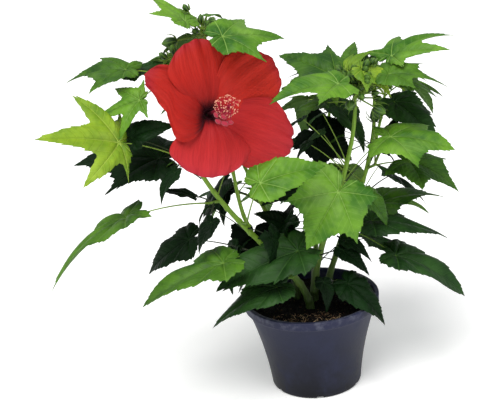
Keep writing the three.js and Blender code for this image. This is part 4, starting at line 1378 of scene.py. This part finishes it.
def grow_throat(bundle):
    """The dark cup at the petals' foot, open to the front."""
    section = [(8.6, 2.5), (7.4, -1), (5.2, -4.5), (2.6, -6.5), (2.2, -5.6), (4.4, -3.4),
               (6.6, 0), (8.0, 2.8)]
    round_cup = ring(RIGHT, UP, CUP_SIDES)
    corners = np.concatenate([THROAT + AXIS * depth + round_cup * radius
                              for radius, depth in section])
    bundle.add(corners, hoops(len(section), CUP_SIDES, looped=True), THROAT_DARK)


def column_route():
    tip = THROAT + AXIS * COLUMN_LENGTH + RIGHT * COLUMN_LEAN + UP * COLUMN_LEAN * 0.2
    return [THROAT, THROAT + AXIS * COLUMN_LENGTH * 0.55, tip]


def column_parts():
    """The shaft of the column, its styles and the round pads at their ends."""
    shaft = Bundle("column", [column_finish()])
    share = np.linspace(0, 1, 24)
    shaft.add(*tube(bezier(column_route(), share), between((2.9, 2.1), share), 16))
    pads = Bundle("stigma_pads", [pad_finish()])
    tip = bezier(column_route(), 1)[0]
    for across, up, out, size in PADS:
        end = tip + RIGHT * across + UP * up + AXIS * (out - 4)
        knee = tip + (end - tip) * 0.35 + AXIS * 7
        shaft.add(*tube(bezier([tip - AXIS * 2, knee, end], np.linspace(0, 1, 10)),
                        np.full(10, STYLE_RADIUS), 8))
        grow_pad(pads, end, unit(end - knee), size)
    return shaft.piece(), pads.piece()


def grow_pad(bundle, centre, along, size):
    """A flattened, lumpy ball."""
    rows = np.linspace(-1, 1, 9)
    profile = np.sqrt(np.clip(1 - rows ** 2, 0.02, 1)) * size
    turns = round_turns(PAD_SIDES)
    lumps = 1 + 0.09 * np.cos(3 * turns) + 0.06 * np.cos(5 * turns + 1)
    line = centre + along * (rows * size * 0.7)[:, None]
    bundle.add(*tube(line, profile[:, None] * lumps, PAD_SIDES))


def calyx_parts(sepals, stalks):
    """Behind the petals: a ribbed cup with ten narrow bractlets, and the bloom's own stalk."""
    share = np.linspace(1, -0.35, 16)
    cup = np.array([CALYX_NECK + CALYX_RADIUS * math.sin(max(0, 1 - at) * 1.15) for at in share])
    lobes = 1 + 0.05 * np.cos(5 * round_turns(CALYX_SIDES)) * np.linspace(0, 1, 16)[:, None]
    centre = THROAT - AXIS * (share * CALYX_LENGTH)[:, None]
    keep = share > 0.32
    sepals.add(*tube(centre[keep], (cup[:, None] * lobes)[keep], CALYX_SIDES))
    end = THROAT - AXIS * CALYX_LENGTH * 0.9
    share = np.linspace(0, 1, 9)
    for number in range(CALYX_BRACTLETS):
        out = turned(UP, AXIS, 360 / CALYX_BRACTLETS * number + 9)
        line = end + out * (3 + 17 * share ** 0.8)[:, None] + AXIS * (22 * share ** 1.6)[:, None]
        sepals.add(*tube(line, np.linspace(1.3, 0.25, 9), 5), BRACTLET)
    lead = end - bezier(ROUTES["inner_bough"], PEDUNCLE_AT)[0]
    lead[2] -= PEDUNCLE_DIP
    lead = unit(lead)
    foot = foot_on("inner_bough", PEDUNCLE_AT, lead, PEDUNCLE_RADII[0])
    knee = foot + lead * np.linalg.norm(foot - end) * 0.5
    share = np.linspace(0, 1, 16)
    line = bezier([foot - lead * 1.5, knee, end], share)
    stalks.add(*tube(line, between(PEDUNCLE_RADII, share) * 0.95, 10), SHOOT)


# Pot and compost


def wall_radius(height):
    share = height / (POT_HEIGHT - COLLAR_HEIGHT)
    return FOOT_RADIUS + WALL_SPREAD[0] * share + WALL_SPREAD[1] * share * share


def turned_body(name, profile, turns, finish, shape):
    """A closed turned body through a profile that starts and ends on the axis."""
    bundle = Bundle(name, [finish])
    rings = np.array([np.stack([radius * np.cos(turns), radius * np.sin(turns),
                                np.full(len(turns), float(height))], 1)
                      for radius, height in profile[1:-1]])
    shape(rings)
    count = len(turns)
    ends = [[0, 0, profile[end][1]] for end in (0, -1)]
    corners = np.concatenate([rings.reshape(-1, 3), ends])
    low, high = len(corners) - 2, len(corners) - 1
    top = (len(rings) - 1) * count
    faces = []
    for side in range(count):
        after = (side + 1) % count
        faces.append((low, after, side))
        for row in range(0, top, count):
            a, b = row + side, row + after
            faces.append((a, b, b + count, a + count))
        faces.append((high, top + side, top + after))
    bundle.add(corners, faces)
    return bundle.piece()


def pot_profile(inside):
    """Radii and heights: from the middle of the underside up the wall, over the lip and down."""
    collar = POT_HEIGHT - COLLAR_HEIGHT
    bends = [math.pi / 2 * step / 6 for step in range(7)]
    profile = [(0, 0), (40, 0), (inside - 3, 0), (inside - 2.6, 0), (inside, 0)]
    for bend in bends[1:]:
        profile.append((inside + (wall_radius(FOOT_EDGE) - COLLAR_STEP - inside) * math.sin(bend),
                        FOOT_EDGE * (1 - math.cos(bend))))
    for height in np.linspace(FOOT_EDGE + 4, collar - 1.2, 34):
        profile.append((wall_radius(height) - COLLAR_STEP, height))
    profile += [(wall_radius(collar) - COLLAR_STEP + 0.15, collar - 0.2),
                (RIM_RADIUS - 0.9, collar + 1.1), (RIM_RADIUS - 0.35, collar + 1.8),
                (RIM_RADIUS - 0.25, collar + 5), (RIM_RADIUS - 0.1, POT_HEIGHT - 3)]
    for bend in bends:
        profile.append((RIM_RADIUS - LIP_ROLL * (1 - math.cos(bend)),
                        POT_HEIGHT - LIP_ROLL + LIP_ROLL * math.sin(bend)))
    profile += [(RIM_RADIUS - LIP + 1.2, POT_HEIGHT), (RIM_RADIUS - LIP + 0.2, POT_HEIGHT - 0.7)]
    for height in np.linspace(POT_HEIGHT - 4, collar, 4):
        profile.append((RIM_RADIUS - LIP - 0.2, height))
    for height in np.linspace(collar - 4, FOOT_EDGE, 8):
        profile.append((wall_radius(height) - COLLAR_STEP - WALL, height))
    return profile + [(inside - WALL, WALL), (0, WALL)]


def make_pot():
    """The pot: rolled foot edge with drainage notches, flared wall, collar and rounded lip."""
    inside = FOOT_RADIUS - FOOT_EDGE
    half = math.degrees(NOTCH_WIDTH / 2 / FOOT_RADIUS)
    middles = [-90 + 360 * notch / NOTCHES for notch in range(NOTCHES)]
    degrees = set(np.round(np.arange(0, 360, 2.5), 3))
    for middle in middles:
        degrees |= {round((middle + edge) % 360, 3)
                    for edge in (-half - 0.3, -half + 0.3, half - 0.3, half + 0.3)}
    degrees = np.array(sorted(degrees))

    def cut(rings):
        near = np.min([np.abs((degrees - middle + 180) % 360 - 180) for middle in middles], axis=0)
        depth = NOTCH_HEIGHT * (1 - smooth((near - half + 0.3) / 0.6))
        radius = np.linalg.norm(rings[..., :2], axis=2)
        low = (rings[..., 2] < NOTCH_HEIGHT) & (radius > inside - 2.8)
        rings[..., 2] = np.where(low, np.maximum(rings[..., 2], depth[None]), rings[..., 2])

    return turned_body("pot_body", pot_profile(inside), np.radians(degrees), pot_finish(), cut)


SOIL_SEED = 77
SOIL_LUMPS = 26
SOIL_RINGS = 46
SOIL_TURNS = 120


def make_compost():
    """Compost to just under the lip, uneven on top and drawn down a little at the wall."""
    draw = random(SOIL_SEED)
    lumps = [(between((2.5, 17), draw() ** 2), draw() * 6.3, draw() * 6.3)
             for _ in range(SOIL_LUMPS)]
    inside = FOOT_RADIUS - FOOT_EDGE - WALL - 1
    edge = wall_radius(SOIL_TOP - 4) - COLLAR_STEP - WALL - 0.6
    profile = [(0, WALL + 0.4), (inside, WALL + 0.4)]
    profile += [(wall_radius(height) - COLLAR_STEP - WALL - 1.2, height)
                for height in np.linspace(FOOT_EDGE, SOIL_TOP - 5, 6)]
    top = len(profile) - 1
    profile += [(radius, SOIL_TOP - 3.5 * smooth((radius - 55) / 45))
                for radius in np.linspace(edge, 2, SOIL_RINGS)]
    profile.append((0, SOIL_TOP))

    def heave(rings):
        x, y = rings[top:, :, 0], rings[top:, :, 1]
        rolling = np.zeros_like(x)
        for size, angle, phase in lumps:
            slope = (x * math.cos(angle) + y * math.sin(angle)) / size
            rolling += (0.05 * size ** 0.9 + 0.1) * np.sin(slope + phase)
        radius = np.linalg.norm(rings[top:, :, :2], axis=2)
        rings[top:, :, 2] += rolling * smooth((edge - radius) / 8 + 0.25)

    return turned_body("compost", profile, round_turns(SOIL_TURNS), compost_finish(), heave)


# What is scattered


class Scatter(Tree):
    """A Geometry Nodes tree that seats one small shape all over a surface."""

    def __init__(self, name):
        self.tree = bpy.data.node_groups.new(name, "GeometryNodeTree")
        face = self.tree.interface
        face.new_socket("Surface", in_out="INPUT", socket_type="NodeSocketGeometry")
        self.inputs = {}
        for label, kind in [("Shape", "Object"), ("Per square metre", "Float"),
                            ("Smallest", "Float"), ("Largest", "Float"), ("Tilt", "Float"),
                            ("Seed", "Int"), ("Finish", "Material")]:
            made = face.new_socket(label, in_out="INPUT", socket_type="NodeSocket" + kind)
            self.inputs[label] = made.identifier
        face.new_socket("Result", in_out="OUTPUT", socket_type="NodeSocketGeometry")
        given = self.add("NodeGroupInput").outputs
        points = self.add("GeometryNodeDistributePointsOnFaces", {"distribute_method": "RANDOM"}, {
            "Mesh": given["Surface"], "Density": given["Per square metre"],
            "Seed": given["Seed"]}).outputs
        shape = self.add("GeometryNodeObjectInfo", values={"Object": given["Shape"]}).outputs
        most = self.add("ShaderNodeMath", {"operation": "MULTIPLY"}, [given["Tilt"], -1.0])
        low, high = [self.add("ShaderNodeCombineXYZ", values=[tilt, tilt, spin]).outputs[0]
                     for tilt, spin in ((most.outputs[0], -math.pi), (given["Tilt"], math.pi))]
        tilt = self.add("FunctionNodeRandomValue", {"data_type": "FLOAT_VECTOR"}, {
            0: low, 1: high, "Seed": given["Seed"]}).outputs
        turn = self.add("FunctionNodeRotateRotation", {"rotation_space": "LOCAL"},
                        [points["Rotation"], tilt[0]]).outputs
        grow = self.add("FunctionNodeRandomValue", {"data_type": "FLOAT"}, {
            2: given["Smallest"], 3: given["Largest"], "Seed": given["Seed"]}).outputs
        seated = self.add("GeometryNodeInstanceOnPoints", values={
            "Points": points["Points"], "Instance": shape["Geometry"],
            "Rotation": turn[0], "Scale": grow[1]}).outputs
        real = self.add("GeometryNodeRealizeInstances", values=[seated[0]]).outputs
        dressed = self.add("GeometryNodeSetMaterial", values={
            "Geometry": real[0], "Material": given["Finish"]}).outputs
        self.add("NodeGroupOutput", values=[dressed[0]])

    def over(self, name, surface, shape, finish, *amounts):
        """The plain mesh that the tree makes over a surface, as a piece of its own."""
        modifier = surface.modifiers.new(name, "NODES")
        modifier.node_group = self.tree
        labels = ("Shape", "Finish", "Per square metre", "Smallest", "Largest", "Tilt", "Seed")
        for label, value in zip(labels, (shape, finish.material, *amounts)):
            modifier[self.inputs[label]] = value
        bpy.context.view_layer.update()
        ready = surface.evaluated_get(bpy.context.evaluated_depsgraph_get())
        mesh = bpy.data.meshes.new_from_object(ready)
        surface.modifiers.remove(modifier)
        mesh.name = name
        mesh.polygons.foreach_set("use_smooth", [True] * len(mesh.polygons))
        return show(name, mesh)


def anther_shape():
    """A curved thread with a small two-lobed head."""
    bundle = Bundle("anther shape", [])
    share = np.linspace(0, 1, 5)
    line = np.stack([1.2 * share ** 2, 0 * share, 6.5 * share], 1)
    bundle.add(*tube(line, np.array([0.3, 0.24, 0.22, 0.22, 0.2]), 4), tip=0.0)
    rows = np.array([-1, -0.6, 0, 0.6, 1])
    head = np.stack([1.2 + 0 * rows, 1.15 * rows, 6.9 - 0.4 * rows ** 2], 1)
    bundle.add(*tube(head, np.array([0.25, 0.72, 0.62, 0.72, 0.25]), 6), tip=1.0)
    return bundle.piece()


def crumb_shape(name, stretch, seed):
    """A lump of compost with rounded, uneven faces."""
    draw = random(seed)
    bundle = Bundle(name, [])
    rows = np.array([-1, -0.55, 0.1, 0.7, 1])
    line = np.stack([0 * rows, 0 * rows, rows * stretch], 1)
    radii = np.array([[between((0.7, 1.15), draw()) for _ in range(6)] for _ in rows])
    radii *= np.sqrt(np.clip(1.05 - rows ** 2, 0.06, 1))[:, None]
    bundle.add(*tube(line, radii, 6))
    return bundle.piece()


def fibre_shape():
    bundle = Bundle("fibre shape", [])
    share = np.linspace(0, 1, 6)
    line = np.stack([7 * share - 3.5, 1.3 * np.sin(3 * share), 1.4 * np.sin(2.4 * share)], 1)
    bundle.add(*tube(line, np.array([0.12, 0.2, 0.22, 0.2, 0.18, 0.1]), 4))
    return bundle.piece()


def top_of(compost, kept=lambda x, y: True):
    """A patch of the compost's upper surface, to scatter on."""
    patch = Bundle("patch", [])
    faces = [tuple(face.vertices) for face in compost.data.polygons
             if face.normal.z > 0.3 and face.center.z > (SOIL_TOP - 14) * MM
             and kept(face.center.x / MM, face.center.y / MM)]
    patch.add(places_of(compost.data), faces)
    return patch.piece()


# The stretch of the compost that the fibres lie on: from and to along X, and up to along Y.
FIBRE_PATCH = (-108, 44, -46)


def make_brush():
    """The surface round the column's end that the anthers are seated on."""
    brush = Bundle("brush", [])
    swell = 3.0 + 6.5 * np.sin(np.pi * np.linspace(0.12, 0.92, 12))
    brush.add(*tube(bezier(column_route(), np.linspace(*BRUSH_SPAN, 12)), swell, 14))
    return brush.piece()


def scatter_all(compost):
    """Crumbs, bark chips and fibres on the compost and anthers on the column."""
    scatter = Scatter("scattered shapes")
    patch = top_of(compost)
    west, east, north = FIBRE_PATCH
    front = top_of(compost, lambda x, y: y < north and west < x < east)
    brush = make_brush()
    crumb, grit = crumb_shape("crumb", 0.8, 5), crumb_shape("grit", 1.6, 9)
    fibre, anther = fibre_shape(), anther_shape()
    dark = crumb_finish("crumbs", (5, 5, 6), (30, 24, 21))
    brown = crumb_finish("bark chips", (36, 26, 20), (84, 62, 44))
    straw = crumb_finish("compost fibre", (124, 88, 62), (218, 190, 152))
    # Each piece: surface, shape, finish, number to the square metre, sizes, tilt and seed.
    pieces = [scatter.over(*what) for what in (
        ("compost_crumbs", patch, crumb, dark, 52000.0, 0.7, 2.4, 3.1, 3),
        ("bark_chips", patch, grit, brown, 9000.0, 0.5, 1.4, 3.1, 8),
        ("compost_fibres", front, fibre, straw, 52000.0, 0.5, 1.5, 1.0, 5),
        ("anthers", brush, anther, anther_finish(), 95000.0, 0.75, 1.25, 0.45, 4))]
    for helper in (patch, front, brush, crumb, grit, fibre, anther):
        bpy.data.objects.remove(helper)
    return pieces


# Assembly

LEAF_PIECES = {
    "left_leaves": ["summit", "top_left", "star", "far_left", "under_bloom", "low_left",
                    "base_left"],
    "front_leaves": ["low_front", "front", "middle_top", "rim", "dark"],
    "right_leaves": ["right_top", "right", "mid_right", "back_right_top", "back_right"],
    "back_leaves": ["back_top", "back", "back_left_top", "back_left"],
}


def settle(piece, slot, *nodes):
    """Puts a finished piece on the part's body, in place of the nodes that it dresses."""
    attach(piece, "root")
    if nodes:
        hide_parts(*nodes)


def dress_plant():
    lay_routes()
    canes = Bundle("canes", [CANE])
    for name in LIMBS:
        grow_limb(canes, name)
    settle(canes.piece(), "stems", *LIMBS)
    stalks = Bundle("stalks_and_shoots", [STALKS, STALKS_IN_SHADE, SHOOT])
    buds = Bundle("buds", [BUD, BRACTLET])
    for piece_name, endings in LEAF_PIECES.items():
        names = ["leaves_" + ending for ending in endings]
        leaves = Bundle(piece_name, list(TINTS.values()))
        for order, mass in enumerate(MASSES):
            if mass["name"] in names:
                dress_mass(mass, order, leaves, stalks, buds)
        settle(leaves.piece(), "leaves", *names)
    inner = Bundle("inner_leaves", list(TINTS.values()))
    grow_axils(inner, stalks)
    settle(inner.piece(), "leaves")
    sepals = Bundle("calyx", [BUD, BRACTLET])
    calyx_parts(sepals, stalks)
    settle(sepals.piece(), "stems")
    settle(stalks.piece(), "stems")
    settle(buds.piece(), "stems")


def dress_bloom():
    petals = Bundle("petals", [SCARLET, CRIMSON, THROAT_DARK, BRIGHT])
    colours = (SCARLET, BRIGHT, CRIMSON, CRIMSON, SCARLET)
    for number, (petal, colour) in enumerate(zip(BLOOM["petals"], colours)):
        grow_petal(petals, colour, petal, random(PETAL_SEED + number),
                   lapped=number == LAPPED_PETAL, frill=0.011 if number == FRILLED_PETAL else 0.006)
    grow_throat(petals)
    settle(petals.piece(), "petals", "bloom")
    for piece in column_parts():
        settle(piece, "petals")


def dress_pot():
    settle(make_pot(), "pot", "pot")
    compost = make_compost()
    settle(compost, "compost", "soil")
    *litter, anthers = scatter_all(compost)
    for piece in litter:
        settle(piece, "compost")
    settle(anthers, "petals")


# Floor, light and camera

CAMERA_PLACE = np.array([-84.0, -1800.0, 981.0])
CAMERA_DOWN = 19.9
CAMERA_ASIDE = 0.1
CAMERA_ROLL = 5.0
CAMERA_LENS = 85.75


def aim(thing, place, ahead, roll=0.0):
    """Stands a lamp or the camera at a place in metres, looking ahead, rolled by degrees."""
    level = unit(np.cross(ahead, Z))
    upright = np.cross(level, ahead)
    roll = math.radians(roll)
    right = level * math.cos(roll) - upright * math.sin(roll)
    up = level * math.sin(roll) + upright * math.cos(roll)
    rows = [[float(right[i]), float(up[i]), float(-ahead[i]), float(place[i])] for i in range(3)]
    thing.matrix_world = Matrix(rows + [[0, 0, 0, 1]])


def set_up_camera():
    data = bpy.data.cameras.new("camera")
    data.lens = CAMERA_LENS
    data.sensor_width = 36
    data.clip_end = 50
    camera = show("camera", data)
    aim(camera, CAMERA_PLACE * MM, way(90 + CAMERA_ASIDE, -CAMERA_DOWN), CAMERA_ROLL)
    bpy.context.scene.camera = camera


def set_up_light():
    """A soft sun from the upper left front, a weak fill from the right and a pale sky."""
    for name, kind, place, size, power, colour in [
            ("key", "SUN", (-0.5, -0.9, 2.2), 0.7, 2.9, (1.0, 0.99, 0.97)),
            ("fill", "AREA", (1.7, -1.7, 1.3), 1.8, 12, (0.98, 0.98, 1.0))]:
        data = bpy.data.lights.new(name, kind)
        if kind == "SUN":
            data.angle = size
        else:
            data.size = size
        data.energy = power
        data.color = colour
        aim(show(name, data), place, unit(np.array([-0.05, 0.0, 0.38]) - np.array(place)))
    world = bpy.data.worlds.new("studio")
    world.use_nodes = True
    backdrop = world.node_tree.nodes["Background"]
    backdrop.inputs["Color"].default_value = (0.97, 0.985, 1.0, 1)
    backdrop.inputs["Strength"].default_value = 0.46
    bpy.context.scene.world = world
    bpy.context.scene.view_settings.view_transform = "Standard"


def set_up_floor():
    finish = Finish("floor", Roughness=0.85, Specular_IOR_Level=0.1, Emission_Strength=0.2,
                    Emission_Color=(1, 1, 1, 1))
    grain = finish.noise(6, 2)
    finish.feed("Base Color", finish.mix(grain, (252, 252, 252), (254, 254, 254)))
    mesh = bpy.data.meshes.new("floor")
    side = 12.0
    mesh.from_pydata([(-side, -side, 0), (side, -side, 0), (side, side, 0), (-side, side, 0)],
                     [], [(0, 1, 2, 3)])
    mesh.materials.append(finish.material)
    show("floor", mesh)


set_up_camera()
set_up_light()
set_up_floor()
dress_plant()
dress_bloom()
dress_pot()
